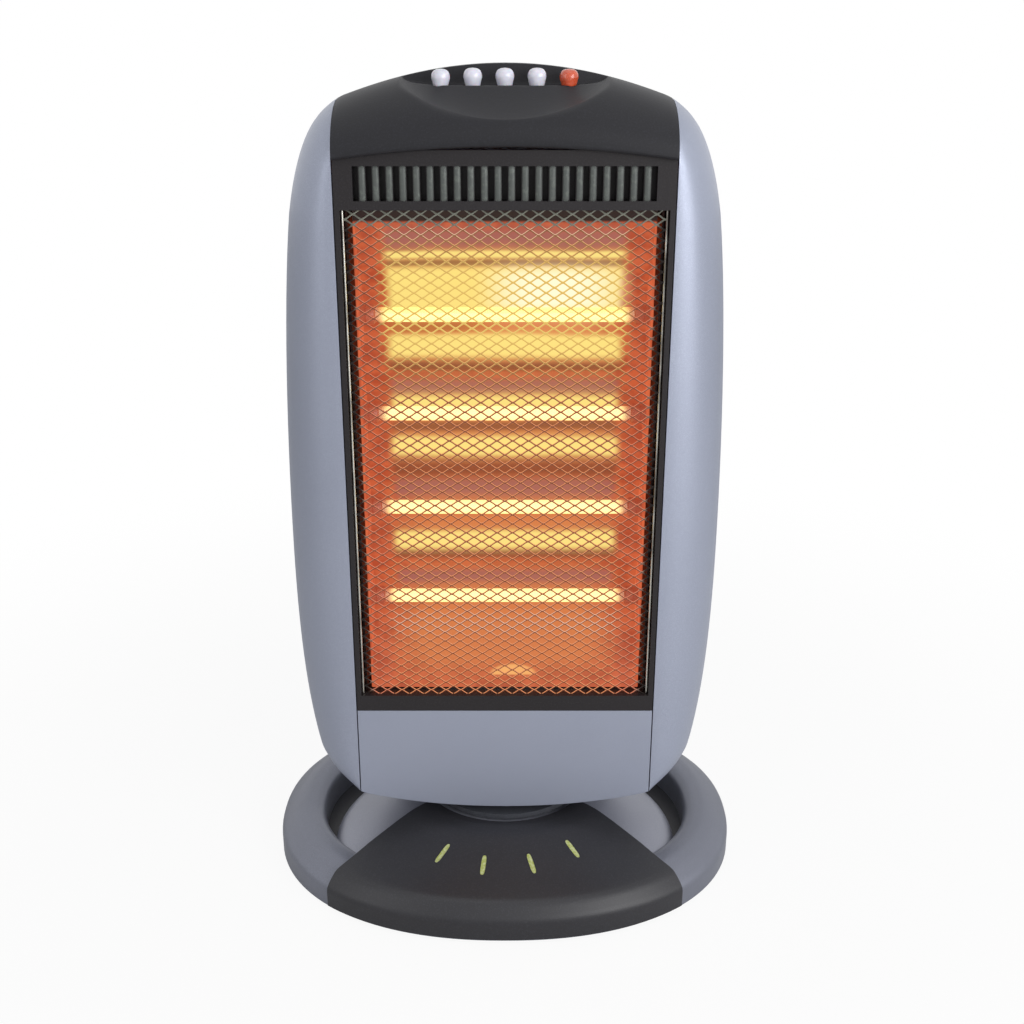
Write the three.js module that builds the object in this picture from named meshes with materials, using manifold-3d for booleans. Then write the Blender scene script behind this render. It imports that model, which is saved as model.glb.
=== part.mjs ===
// Halogen heater: a tall heating head that swings on a low oval base.
// Millimetres. X points right as seen from the front, Y to the back, Z up.
// The origin is the middle of the base on the floor, on the axis that the head swings about.

import * as THREE from 'three';
import { mergeVertices } from 'three/addons/utils/BufferGeometryUtils.js';
import Module from 'manifold-3d';

// ---------------------------------------------------------------------------
// Driving dimensions
// ---------------------------------------------------------------------------

// Walls and clearances
const WALL = 2.5; // moulded shells
const GAP = 0.3; // between pieces that touch
const SEAM = 0.3; // half of the visible line between two covers
const FINEST = 0.05; // detail below this is dropped

// Head, as a whole
const HEAD_HEIGHT = 531;
const HEAD_LIFT = 7; // bottom of the head above the top of the hub
const HEAD_HALF_WIDTH = 154.7;
const FRAME_SIDE = 6; // black frame at each side of the window
const FRONT_Y = -60;
const WIDEST_Y = -10; // depth at which the head is widest
const SEAM_Y = 6; // where the front covers meet the rear housing
const REAR_Y = 55;
const TOP_ROUNDING = 45; // how far the top falls towards the front
const TOP_BAND = 0.3; // share of the head's height that takes part in that fall
const BOTTOM_ROUNDING = 5;
const BOTTOM_BAND = 0.122;
const REAR_SLIMMING = 0.3; // share of its width that the head loses at the back
const REAR_LOWERING = 0.06; // and of its height
const PATH_STEPS = 3; // chords to each stretch of the head's outline

// Right half of the head's outline, from the middle of its bottom to the middle of its top. Each row
// is one curve: its handles and its end, as shares of the head's half width and of its height.
const HEAD_OUTLINE = [
  [[0.3878, 0], [0.7111, 0.0282]],
  [[0.8319, 0.0395], [0.8966, 0.0527], [0.9289, 0.0829]],
  [[0.9806, 0.1601], [1, 0.2542], [1, 0.3766]],
  [[1, 0.548], [0.9741, 0.7175], [0.927, 0.8249]],
  [[0.8966, 0.8795], [0.8449, 0.9247], [0.7673, 0.9454]],
  [[0.7111, 0.9605], [0.6593, 0.9652]],
  [[0.3232, 1], [0, 1]],
];

// Top cover, scoop and vents
const COVER_PROUD = 6; // top cover ahead of the front frame
const COVER_DROP = 56; // lower edge of the cover below the top, at the seams
const COVER_ARCH = 8; // how much higher that edge is in the middle
const SHELF_DROP = 13; // button shelf below the top of the head
const SCOOP_HALF_WIDTH = 66;
const SCOOP_FRONT_DROP = 31; // front lip of the scoop below the top of the head
const SCOOP_BACK_Y = -13;
const SCOOP_CURVE = 311; // radius over which the hollow's top edge falls towards its ends
const SHELF_DEPTH = 25;
const SHELF_TO_SLOPE = 14; // how far the floor has run forward when it is half way down to the lip
const VENT_COUNT = 23;
const VENT_PITCH = 8.5;
const VENT_WIDTH = 3.2;
const VENT_HEIGHT = 21;
const VENT_ABOVE_WINDOW = 6;

// Window, guard and frame
const WINDOW_HALF = 102;
const WINDOW_ABOVE_BOTTOM = 98.7; // lower edge of the window above the bottom of the head
const WINDOW_BELOW_TOP = 86.6; // upper edge of the window below the top of the head
const LOWER_RAIL = 12.4; // frame below the window
const FRAME_DEPTH = 44; // side walls of the window, front to back
const FRAME_WALL = 2;
const GUARD_SETBACK = 3;
const GUARD_RIM = 3;
const GUARD_WIRE = 0.8;
const MESH_PITCH_X = 10.7;
const MESH_PITCH_Z = 6.65;
const MESH_LAYER_GAP = 0.3;

// Heating elements
const TUBE_COUNT = 4;
const TUBE_Y = -28;
const TUBE_RADIUS = 5;
const TUBE_BORE = 4;
const CAP_RADIUS = 7;
const CAP_LENGTH = 13;
const CAP_SPIGOT = 3.6;
const FILAMENT_RADIUS = 1.3;
const REFLECTOR_SHEET = 1;
const TROUGH_DEPTH = 22;
const RIDGE_Y = -32;
const CARRIER_SHEET = 1.5;
const CUTOUT_RADIUS = 8;
const CUTOUT_HEIGHT = 7;

// Buttons and switch
const BUTTON_COUNT = 5;
const BUTTON_PITCH = 20.3;
const BUTTON_RADIUS = 5.75;
const BUTTON_STEM = 3;
const BUTTON_Y = -27;
const BUTTON_UP = 12.6; // top of a button that is up, above the shelf
const BUTTON_LATCHED = 2.5; // how much lower a latched button stands
const BUTTON_SKIRT = 5; // how far the button's full width goes below the shelf
const STEM_LENGTH = 12;
const SWITCH_HEIGHT = 18;
const SWITCH_BELOW_SHELF = 11;
const SWITCH_DEPTH = 20;

// Screws and their posts
const POST_RADIUS = 5;
const SCREW_RADIUS = 1.8;
const SCREW_HEAD_RADIUS = 3.6;
const POST_OUTWARD = 15.35; // posts beyond the seam of the side panel
const POST_DROP = 118; // upper posts below the top of the head
const POST_RISE = 92; // lower posts above its bottom
const REAR_SCREW_LENGTH = 24;

// Rear
const GRIP_HALF_WIDTH = 58;
const GRIP_HEIGHT = 30;
const GRIP_DEPTH = 20;
const GRIP_DROP = 62; // middle of the grip recess below the top of the head
const REAR_VENT_PITCH = 9;
const REAR_VENT_WIDTH = 3.4;
const REAR_VENT_HALF = 56;
const UPPER_VENTS = 9;
const LOWER_VENTS = 7;
const GLAND_X = 62;
const GLAND_RISE = 50; // above the bottom of the head
const GLAND_RADIUS = 6.5;

// Base
const BASE_HALF_WIDTH = 178;
const BASE_HALF_DEPTH = 142;
const BASE_SQUARENESS = 2.2; // 2 would be an ellipse
const OVAL_STEPS = 32;
const RING_WIDTH = 35;
const RING_TOP = 31;
const BASE_LIFT = 2; // edge of the base above the floor
const HUB_SIDE_GAP = 11; // dark gap between ring and hub at the sides
const HUB_REAR_GAP = 47;
const HUB_TOP = 48;
const HUB_TOP_RADIUS = 66;
const FRONT_COVER_THICK = 2.2;
const MARK_LENGTH = 17;
const MARK_WIDTH = 4;
const MARK_DEPTH = 0.8;
const MARK_FAN = 12; // degrees between two neighbouring marks
const MARK_REACH = 106; // middle of the marks from the swing axis
const MARK_BOW = 4; // how much nearer the outer marks are, for each step from the middle
const PLATE_THICK = 2.5;
const PLATE_LIFT = 3; // underside of the base plate above the floor
const FOOT_RADIUS = 9;
const FOOT_FROM_SIDE = 60; // feet inside the base's outline
const FOOT_FROM_FRONT = 71.1;
const FOOT_FROM_REAR = 67.1;
const FRONT_SCREW_INSET = 48; // base screws inside the hub's outline
const FRONT_SCREW_FORWARD = 38; // and ahead of or behind its middle
const REAR_SCREW_INSET = 74;
const REAR_SCREW_BACK = 68;
const BASE_SCREW_LENGTH = 13;
const BOSS_RADIUS = 4.5;
const PLUNGER_INSET = 48;
const PLUNGER_BACK = 12;
const TIP_SWITCH_HEIGHT = 20;

// Profiles of the base. Ring: share of its width inward, share of its height. Hub and deck: share of
// the way from their outline to the hub's top, share of the hub's height.
const RING_PROFILE = [[0, 0.548], [0.043, 0.645], [0.314, 0.887], [0.543, 1]];
const RING_HOLE = [[0, 0.742], [-0.071, 0.903], [-0.257, 1.032]];
const HUB_PROFILE = [[0, 0.375], [0.05, 0.5], [0.13, 0.583], [0.4, 0.719], [0.8, 0.9375], [1, 1]];
const DECK_PROFILE = [[0, 0.354], [0.012, 0.396], [0.1, 0.594], [0.375, 0.719], [0.845, 0.969], [1, 1]];

// Right side of the front cover in plan, from the hub's top to the front edge, as shares of the
// base's half width and half depth.
const FAN_SIDE = [[0.36, 0.303], [0.573, 0.535], [0.68, 0.683], [0.725, 0.761], [0.753, 1.211]];

// Neck and swing drive
const TURNTABLE_RADIUS = 62;
const TURNTABLE_THICK = 4;
const NECK_RADIUS = 38;
const NECK_FLANGE_RADIUS = 45;
const SHAFT_RADIUS = 20;
const SHAFT_BORE = 14;
const MODULE = 1.5; // gear module: pitch diameter over tooth count
const SECTOR_TEETH = 54; // on the full circle that the sector is a part of
const SECTOR_SPAN = 104; // degrees
const PINION_TEETH = 16;
const GEAR_BACKLASH = 0.4;
const GEAR_THICK = 5;
const MOTOR_RADIUS = 24;
const MOTOR_HEIGHT = 18;
const MOTOR_SHAFT_RADIUS = 3;
const TERMINAL_WIDTH = 48;
const TERMINAL_DEPTH = 14;
const TERMINAL_HEIGHT = 15;
const TERMINAL_Y = 25;

// ---------------------------------------------------------------------------
// Places worked out from the driving dimensions
// ---------------------------------------------------------------------------

const COLUMN_HALF = WINDOW_HALF + FRAME_SIDE; // centre column, between the side panels
const HEAD_BOTTOM = HUB_TOP + HEAD_LIFT;
const HEAD_TOP = HEAD_BOTTOM + HEAD_HEIGHT;
const WINDOW_BOTTOM = HEAD_BOTTOM + WINDOW_ABOVE_BOTTOM;
const WINDOW_TOP = HEAD_TOP - WINDOW_BELOW_TOP;
const WINDOW_HEIGHT = WINDOW_TOP - WINDOW_BOTTOM;
const COLUMN_EDGE = COLUMN_HALF - SEAM;
const PANEL_EDGE = COLUMN_HALF + SEAM;
const RAIL_Z = WINDOW_BOTTOM - LOWER_RAIL;
const SHELF_Z = HEAD_TOP - SHELF_DROP;
const COVER_EDGE_Z = HEAD_TOP - COVER_DROP;
const VENT_Z = WINDOW_TOP + VENT_ABOVE_WINDOW;
const TUBE_PITCH = WINDOW_HEIGHT / (TUBE_COUNT + 1);
const CARRIER_X = WINDOW_HALF - GAP - CARRIER_SHEET; // inner face of a tube carrier
const CAP_OUTER_X = CARRIER_X - GAP;
const TUBE_END_X = CAP_OUTER_X - CAP_LENGTH / 2;
const BASE_CENTRE_Y = FRONT_COVER_THICK / 2; // keeps the proud front cover inside an even outline
const PLATE_TOP = PLATE_LIFT + PLATE_THICK;
const HUB_ROOF = HUB_TOP - WALL;
const HUB_HALF_WIDTH = BASE_HALF_WIDTH - RING_WIDTH - HUB_SIDE_GAP;
const HUB_FRONT_Y = BASE_CENTRE_Y - BASE_HALF_DEPTH;
const HUB_REAR_Y = BASE_CENTRE_Y + BASE_HALF_DEPTH - RING_WIDTH - HUB_REAR_GAP;
const HUB_HALF_DEPTH = (HUB_REAR_Y - HUB_FRONT_Y) / 2;
const HUB_CENTRE_Y = (HUB_REAR_Y + HUB_FRONT_Y) / 2;
const NECK_BOTTOM = HUB_TOP + 1.5;
const NECK_FLANGE_Z = HEAD_BOTTOM + 11;
const SECTOR_RADIUS = MODULE * SECTOR_TEETH / 2;
const PINION_RADIUS = MODULE * PINION_TEETH / 2;
const MOTOR_Y = -(SECTOR_RADIUS + PINION_RADIUS + 0.2);
const GEAR_Z = PLATE_TOP + GAP + MOTOR_HEIGHT + 2;
const SHAFT_BOTTOM = GEAR_Z - 4.8; // room for the retaining ring under the gear

const POST_X = COLUMN_HALF + POST_OUTWARD;

const tubeZ = (i) => WINDOW_TOP - (i + 1.05) * TUBE_PITCH;
const buttonX = (i) => (i - (BUTTON_COUNT - 1) / 2) * BUTTON_PITCH;

// ---------------------------------------------------------------------------
// Solids: three.js geometry, joined and cut
// ---------------------------------------------------------------------------

const wasm = await Module();
wasm.setup();

// A closed geometry as a solid that can be joined and cut.
function solid(geometry) {
  const loose = geometry.index ? geometry.toNonIndexed() : geometry;
  const bare = new THREE.BufferGeometry();
  bare.setAttribute('position', loose.getAttribute('position'));
  const merged = mergeVertices(bare, 1e-4);
  const mesh = new wasm.Mesh({
    numProp: 3,
    vertProperties: merged.getAttribute('position').array,
    triVerts: new Uint32Array(merged.index.array),
  });
  return new wasm.Manifold(mesh);
}

// The solid's surface as a geometry to draw.
function surface(shape) {
  const mesh = shape.simplify(FINEST).getMesh();
  const geometry = new THREE.BufferGeometry();
  const positions = new Float32Array(mesh.numVert * 3);
  for (let i = 0; i < mesh.numVert; i++) {
    positions.set(mesh.vertProperties.subarray(i * mesh.numProp, i * mesh.numProp + 3), i * 3);
  }
  geometry.setAttribute('position', new THREE.BufferAttribute(positions, 3));
  geometry.setIndex(new THREE.BufferAttribute(new Uint32Array(mesh.triVerts), 1));
  return geometry;
}

const join = (...shapes) => shapes.reduce((all, shape) => all.add(shape));
const cut = (shape, ...tools) => shape.subtract(join(...tools));

function block(x, y, z) {
  const size = [x, y, z].map(([from, to]) => to - from);
  const middle = [x, y, z].map(([from, to]) => (to + from) / 2);
  return solid(new THREE.BoxGeometry(...size).translate(...middle));
}

// An upright round bar, from z0 to z1.
function bar(radius, z0, z1, x = 0, y = 0, sides = 32, topRadius = radius) {
  const geometry = new THREE.CylinderGeometry(topRadius, radius, z1 - z0, sides);
  geometry.rotateX(Math.PI / 2);
  return solid(geometry.translate(x, y, (z0 + z1) / 2));
}

const tube = (outer, inner, z0, z1, x = 0, y = 0, sides = 20) =>
  bar(outer, z0, z1, x, y, sides).subtract(bar(inner, z0 - 1, z1 + 1, x, y, sides));

// Round bars along X and along Y.
const alongX = (radius, x0, x1, y, z, sides = 24) =>
  bar(radius, x0, x1, 0, 0, sides).rotate([0, 90, 0]).translate([0, y, z]);
const alongY = (radius, y0, y1, x, z, sides = 24) =>
  bar(radius, y0, y1, 0, 0, sides).rotate([-90, 0, 0]).translate([x, 0, z]);

// An outline in plan, drawn up from z0 to z1.
function plate(points, z0, z1) {
  const shape = new THREE.Shape(points.map(([x, y]) => new THREE.Vector2(x, y)));
  const geometry = new THREE.ExtrudeGeometry(shape, { depth: z1 - z0, bevelEnabled: false });
  return solid(geometry.translate(0, 0, z0));
}

// An outline given as [y, z] pairs, drawn sideways from x0 to x1.
function section(points, x0, x1) {
  const shape = new THREE.Shape(points.map(([y, z]) => new THREE.Vector2(y, z)));
  const geometry = new THREE.ExtrudeGeometry(shape, { depth: x1 - x0, bevelEnabled: false });
  const turn = new THREE.Matrix4().set(0, 0, 1, x0, 1, 0, 0, 0, 0, 1, 0, 0, 0, 0, 0, 1);
  return solid(geometry.applyMatrix4(turn));
}

// A skin through closed loops of points, one after another, closed at both ends.
function loft(loops) {
  const count = loops[0].length;
  const middle = (loop) =>
    loop.reduce((sum, p) => sum.add(p), new THREE.Vector3()).divideScalar(count);
  const points = [...loops.flat(), middle(loops[0]), middle(loops.at(-1))];
  const faces = [];
  for (let i = 0; i < count; i++) {
    const next = (i + 1) % count;
    for (let row = 0; row < loops.length - 1; row++) {
      const a = row * count;
      const b = a + count;
      faces.push(a + i, a + next, b + next, a + i, b + next, b + i);
    }
    const last = (loops.length - 1) * count;
    faces.push(next, i, points.length - 2, last + i, last + next, points.length - 1);
  }
  const geometry = new THREE.BufferGeometry().setFromPoints(points);
  geometry.setIndex(faces);
  const made = solid(geometry);
  if (made.volume() > 0) return made;
  geometry.setIndex(faces.reverse());
  return solid(geometry);
}

// ---------------------------------------------------------------------------
// Form of the head
// ---------------------------------------------------------------------------

// Half of the head's outline seen from the front, from the middle of the bottom up the right side.
function headHalfOutline() {
  const side = new THREE.Path();
  side.moveTo(0, HEAD_BOTTOM);
  for (const curve of HEAD_OUTLINE) {
    const points = curve.flatMap(([across, up]) =>
      [across * HEAD_HALF_WIDTH, HEAD_BOTTOM + up * HEAD_HEIGHT]);
    if (curve.length === 2) side.quadraticCurveTo(...points);
    else side.bezierCurveTo(...points);
  }
  return side.getPoints(PATH_STEPS);
}

// The whole outline as a loop, moved inwards by inset.
function headLoop(inset) {
  const right = headHalfOutline();
  const left = right.slice(1, -1).reverse().map((p) => new THREE.Vector2(-p.x, p.y));
  const loop = [...right, ...left];
  return loop.map((point, i) => {
    const before = loop[(i + loop.length - 1) % loop.length];
    const after = loop[(i + 1) % loop.length];
    const along = after.clone().sub(before).normalize();
    return new THREE.Vector2(point.x - along.y * inset, point.y + along.x * inset);
  });
}

// The head as one closed form: a flat front as wide as the column, swelling to full width at
// WIDEST_Y and slimming again to the back.
function headForm(inset = 0, frontY = FRONT_Y) {
  const outline = headLoop(inset);
  const front = frontY + inset;
  const middle = (HEAD_TOP + HEAD_BOTTOM) / 2;
  const topBand = HEAD_HEIGHT * TOP_BAND;
  const bottomBand = HEAD_HEIGHT * BOTTOM_BAND;
  const loops = [0, 16, 36, 60, 90].map((degrees) => {
    const grown = Math.sin(THREE.MathUtils.degToRad(degrees));
    const y = WIDEST_Y + (front - WIDEST_Y) * Math.cos(THREE.MathUtils.degToRad(degrees));
    return outline.map(({ x, y: z }) => {
      const beyond = Math.max(Math.abs(x) - COLUMN_HALF, 0);
      const high = Math.max(z - HEAD_TOP + topBand, 0) / topBand;
      const low = Math.max(HEAD_BOTTOM + bottomBand - z, 0) / bottomBand;
      const fall = TOP_ROUNDING * (1 - grown) * high ** 2;
      const rise = BOTTOM_ROUNDING * (1 - grown) * low ** 2;
      return new THREE.Vector3(x - Math.sign(x) * beyond * (1 - grown), y, z - fall + rise);
    });
  });
  for (const degrees of [0, 30, 60, 90]) {
    const slim = 1 - Math.cos(THREE.MathUtils.degToRad(degrees));
    const depth = REAR_Y - inset - SEAM_Y - 2;
    const y = SEAM_Y + 2 + depth * Math.sin(THREE.MathUtils.degToRad(degrees));
    loops.push(outline.map(({ x, y: z }) => new THREE.Vector3(
      x * (1 - REAR_SLIMMING * slim),
      y,
      middle + (z - middle) * (1 - REAR_LOWERING * slim),
    )));
  }
  return loft(loops);
}

const HEAD_OUTER = headForm();
const HEAD_INNER = headForm(WALL);
const HEAD_SKIN = HEAD_OUTER.subtract(HEAD_INNER);
const FAR = 400;

const insideColumn = (z0, z1) => block([-COLUMN_EDGE, COLUMN_EDGE], [-FAR, SEAM_Y], [z0, z1]);

// ---------------------------------------------------------------------------
// Covers of the head
// ---------------------------------------------------------------------------

// The hollow in front of the buttons: the cutter shrinks towards both ends.
function scoop(grown) {
  const stations = [-1, -0.97, -0.88, -0.7, -0.45, -0.15, 0.15, 0.45, 0.7, 0.88, 0.97, 1];
  const loops = stations.map((share) => {
    const x = share * (SCOOP_HALF_WIDTH + grown);
    const size = Math.max(Math.sqrt(1 - share ** 2), 0.05);
    const backY = SCOOP_BACK_Y + grown;
    const topZ = HEAD_TOP - x ** 2 / (2 * SCOOP_CURVE);
    const shelf = SHELF_DROP + grown;
    const lip = SCOOP_FRONT_DROP + grown;
    const profile = [
      [0, 20],
      [0, -shelf * 0.6],
      [-shelf * 0.4, -shelf],
      [-SHELF_DEPTH, -shelf],
      [-SHELF_DEPTH - SHELF_TO_SLOPE, -(shelf + lip) / 2],
      [FRONT_Y - COVER_PROUD - SCOOP_BACK_Y - 12, -lip - 8],
      [FRONT_Y - COVER_PROUD - SCOOP_BACK_Y - 12, 20],
    ];
    return profile.map(([y, z]) => new THREE.Vector3(x, backY + y * size, topZ + z * size));
  });
  return loft(loops);
}

function topCover() {
  const outer = headForm(0, FRONT_Y - COVER_PROUD);
  const inner = headForm(WALL, FRONT_Y - COVER_PROUD);
  const arch = new THREE.Shape();
  arch.moveTo(-COLUMN_EDGE, COVER_EDGE_Z);
  arch.quadraticCurveTo(0, COVER_EDGE_Z + 2 * COVER_ARCH, COLUMN_EDGE, COVER_EDGE_Z);
  arch.lineTo(COLUMN_EDGE, HEAD_TOP + 20);
  arch.lineTo(-COLUMN_EDGE, HEAD_TOP + 20);
  const arched = new THREE.ExtrudeGeometry(arch, {
    depth: SEAM_Y - FRONT_Y + 40,
    bevelEnabled: false,
    curveSegments: 10,
  });
  arched.rotateX(Math.PI / 2).translate(0, SEAM_Y, 0);
  const shell = outer.subtract(scoop(0)).subtract(inner.subtract(scoop(WALL)));
  const chinY = FRONT_Y - COVER_PROUD + WALL / 2;
  const chin = block(
    [-COLUMN_EDGE, COLUMN_EDGE],
    [chinY, FRONT_Y + WALL * 2],
    [COVER_EDGE_Z, COVER_EDGE_Z + COVER_ARCH + WALL],
  );
  const holes = Array.from({ length: BUTTON_COUNT }, (_, i) =>
    bar(BUTTON_RADIUS + 0.5, SHELF_Z - 20, SHELF_Z + 20, buttonX(i), BUTTON_Y, 16));
  return cut(join(shell, chin).intersect(solid(arched)), ...holes);
}

// The black frame around the window, with the outlet vents above it.
function frontFrame() {
  const back = FRONT_Y + FRAME_DEPTH;
  const face = block(
    [-COLUMN_EDGE, COLUMN_EDGE],
    [FRONT_Y, FRONT_Y + WALL],
    [RAIL_Z + GAP, COVER_EDGE_Z - GAP],
  );
  const walls = block(
    [-WINDOW_HALF - FRAME_WALL, WINDOW_HALF + FRAME_WALL],
    [FRONT_Y, back],
    [WINDOW_BOTTOM - FRAME_WALL, WINDOW_TOP + FRAME_WALL],
  );
  const window = block([-WINDOW_HALF, WINDOW_HALF], [-FAR, FAR], [WINDOW_BOTTOM, WINDOW_TOP]);
  const vents = Array.from({ length: VENT_COUNT }, (_, i) => {
    const x = (i - (VENT_COUNT - 1) / 2) * VENT_PITCH;
    return block(
      [x - VENT_WIDTH / 2, x + VENT_WIDTH / 2],
      [-FAR, FAR],
      [VENT_Z, Math.min(VENT_Z + VENT_HEIGHT, COVER_EDGE_Z - 2)],
    );
  });
  return cut(join(face, walls), window, ...vents);
}

// A post inside a side panel that takes a screw from the rear.
const postPlaces = [
  [1, HEAD_TOP - POST_DROP],
  [1, HEAD_BOTTOM + POST_RISE],
  [-1, HEAD_TOP - POST_DROP],
  [-1, HEAD_BOTTOM + POST_RISE],
];

function sidePanel(side) {
  const keep = side > 0 ? [PANEL_EDGE, FAR] : [-FAR, -PANEL_EDGE];
  const skin = HEAD_SKIN.intersect(block(keep, [-FAR, SEAM_Y], [0, 2 * HEAD_TOP]));
  const places = postPlaces.filter(([at]) => at === side);
  const posts = places.map(([at, z]) => alongY(POST_RADIUS, FRONT_Y + 1, SEAM_Y, at * POST_X, z, 10));
  const bores = places.map(([at, z]) =>
    alongY(SCREW_RADIUS + GAP, SEAM_Y + 2 - REAR_SCREW_LENGTH, SEAM_Y + 1, at * POST_X, z, 8));
  return cut(join(skin, ...posts.map((post) => post.intersect(HEAD_OUTER))), ...bores);
}

function lowerPanel() {
  const skin = HEAD_SKIN.intersect(insideColumn(0, RAIL_Z));
  return skin.subtract(bar(NECK_RADIUS + 1, 0, NECK_FLANGE_Z, 0, 0, 24));
}

const GRIP_Z = HEAD_TOP - GRIP_DROP;
const GLAND_Z = HEAD_BOTTOM + GLAND_RISE;

function gripRecess(grown) {
  const height = GRIP_HEIGHT / 2 + grown;
  const half = GRIP_HALF_WIDTH + grown;
  const shape = new THREE.Shape();
  shape.absellipse(0, 0, half, height, 0, 2 * Math.PI, false, 0);
  const depth = GRIP_DEPTH + grown;
  const geometry = new THREE.ExtrudeGeometry(shape, { depth: depth + 20, bevelEnabled: false, curveSegments: 8 });
  return solid(geometry.rotateX(-Math.PI / 2).translate(0, REAR_Y - depth, GRIP_Z));
}

// Rear housing, with its vents, its grip recess and the holes for screws and gland.
function rearHousing() {
  const behind = block([-FAR, FAR], [SEAM_Y + GAP, FAR], [0, 2 * HEAD_TOP]);
  const outer = HEAD_OUTER.subtract(gripRecess(0));
  const shell = outer.subtract(HEAD_INNER.subtract(gripRecess(WALL))).intersect(behind);
  const slot = (z) => block(
    [-REAR_VENT_HALF, REAR_VENT_HALF],
    [REAR_Y - WALL - 2, REAR_Y + 1],
    [z - REAR_VENT_WIDTH / 2, z + REAR_VENT_WIDTH / 2],
  );
  const upper = Array.from({ length: UPPER_VENTS }, (_, i) =>
    slot(GRIP_Z - GRIP_HEIGHT - 6 - i * REAR_VENT_PITCH));
  const lower = Array.from({ length: LOWER_VENTS }, (_, i) =>
    slot(WINDOW_BOTTOM + 6 + i * REAR_VENT_PITCH));
  const posts = postPlaces.map(([side, z]) =>
    alongY(POST_RADIUS + 1, SEAM_Y + GAP, REAR_Y, side * POST_X, z, 8).intersect(HEAD_OUTER));
  const bores = postPlaces.map(([side, z]) =>
    alongY(SCREW_RADIUS + GAP, SEAM_Y - 1, REAR_Y + 1, side * POST_X, z, 6));
  const sinks = postPlaces.map(([side, z]) =>
    alongY(SCREW_HEAD_RADIUS + 0.6, SEAM_Y + 8, REAR_Y + 1, side * POST_X, z, 10));
  const gland = alongY(GLAND_RADIUS + GAP, SEAM_Y + 1, FAR, GLAND_X, GLAND_Z, 16);
  const neck = bar(NECK_RADIUS + 1, 0, NECK_FLANGE_Z, 0, 0, 24);
  return cut(join(shell, ...posts), ...upper, ...lower, ...bores, ...sinks, gland, neck);
}

// A screw along Y: its head faces the rear.
function rearScrew() {
  const head = alongY(SCREW_HEAD_RADIUS, 0, 2.6, 0, 0, 10);
  const shank = alongY(SCREW_RADIUS, -REAR_SCREW_LENGTH, 0.5, 0, 0, 8);
  return join(head, shank);
}

function cordGland() {
  const body = alongY(GLAND_RADIUS, -10, 3, 0, 0, 16);
  const collar = alongY(GLAND_RADIUS + 3, GAP, 3.5, 0, 0, 16);
  const nut = alongY(GLAND_RADIUS + 3, -WALL - 5, -WALL - GAP, 0, 0, 6);
  return join(body, collar, nut).subtract(alongY(GLAND_RADIUS / 2, -11, 5, 0, 0, 10));
}

// ---------------------------------------------------------------------------
// Guard, reflector and heating elements
// ---------------------------------------------------------------------------

// Diamond mesh: two layers of slanting wires, joined by a rim.
function meshGuard() {
  const frontY = FRONT_Y + GUARD_SETBACK;
  const backY = frontY + 2 * GUARD_WIRE + MESH_LAYER_GAP + 0.4;
  const halfX = WINDOW_HALF - GAP;
  const z0 = WINDOW_BOTTOM + GAP;
  const z1 = WINDOW_TOP - GAP;
  const rim = block([-halfX, halfX], [frontY, backY], [z0, z1]).subtract(block(
    [-halfX + GUARD_RIM, halfX - GUARD_RIM],
    [-FAR, FAR],
    [z0 + GUARD_RIM, z1 - GUARD_RIM],
  ));
  const bounds = block([-halfX + 1, halfX - 1], [-FAR, FAR], [z0 + 1, z1 - 1]);
  const slope = Math.atan2(MESH_PITCH_Z, MESH_PITCH_X);
  const length = 2 * halfX / Math.cos(slope) + 10;
  const reach = halfX * Math.tan(slope);
  const wires = [];
  for (const lean of [1, -1]) {
    const y = frontY + 0.2 + GUARD_WIRE / 2 + (lean > 0 ? 0 : GUARD_WIRE + MESH_LAYER_GAP);
    for (let z = z0 - reach; z < z1 + reach; z += MESH_PITCH_Z) {
      const wire = new THREE.BoxGeometry(length, GUARD_WIRE, GUARD_WIRE);
      wires.push(solid(wire.rotateY(-lean * slope).translate(0, y, z)).intersect(bounds));
    }
  }
  return join(rim, ...wires.filter((wire) => !wire.isEmpty()));
}

// Polished sheet with a trough behind each tube.
function reflectorProfile() {
  const ridge = (i) => tubeZ(i) + TUBE_PITCH / 2;
  const frontY = FRONT_Y + GUARD_SETBACK + 8;
  const line = [[frontY, WINDOW_TOP - GAP - 1]];
  for (let i = 0; i < TUBE_COUNT; i++) {
    for (let step = i ? 1 : 0; step <= 8; step++) {
      const share = step / 4 - 1;
      line.push([RIDGE_Y + TROUGH_DEPTH * (1 - share ** 2), ridge(i) - (1 + share) * TUBE_PITCH / 2]);
    }
  }
  line.push([frontY, WINDOW_BOTTOM + GAP + 1]);
  return line;
}

function reflector() {
  const line = reflectorProfile();
  const back = line.map(([y, z]) => [y + REFLECTOR_SHEET, z]).reverse();
  return section([...line, ...back], -CARRIER_X + GAP, CARRIER_X - GAP);
}

function tubeCarrier(side) {
  const inner = side * CARRIER_X;
  const outer = side * (CARRIER_X + CARRIER_SHEET);
  const x = [Math.min(inner, outer), Math.max(inner, outer)];
  const sheet = block(x, [FRONT_Y + GUARD_SETBACK + 4, FRONT_Y + FRAME_DEPTH], [WINDOW_BOTTOM + GAP, WINDOW_TOP - GAP]);
  const holes = Array.from({ length: TUBE_COUNT }, (_, i) =>
    alongX(CAP_SPIGOT + GAP, -FAR, FAR, TUBE_Y, tubeZ(i), 10));
  return cut(sheet, ...holes);
}

const halogenTube = () =>
  alongX(TUBE_RADIUS, -TUBE_END_X, TUBE_END_X, 0, 0, 12)
    .subtract(alongX(TUBE_BORE, -TUBE_END_X - 1, TUBE_END_X + 1, 0, 0, 12));

function filament() {
  const end = TUBE_END_X - 1;
  const coil = alongX(FILAMENT_RADIUS, -end + 8, end - 8, 0, 0, 6);
  const leads = alongX(FILAMENT_RADIUS / 2, -end, end, 0, 0, 6);
  return join(coil, leads);
}

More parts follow.
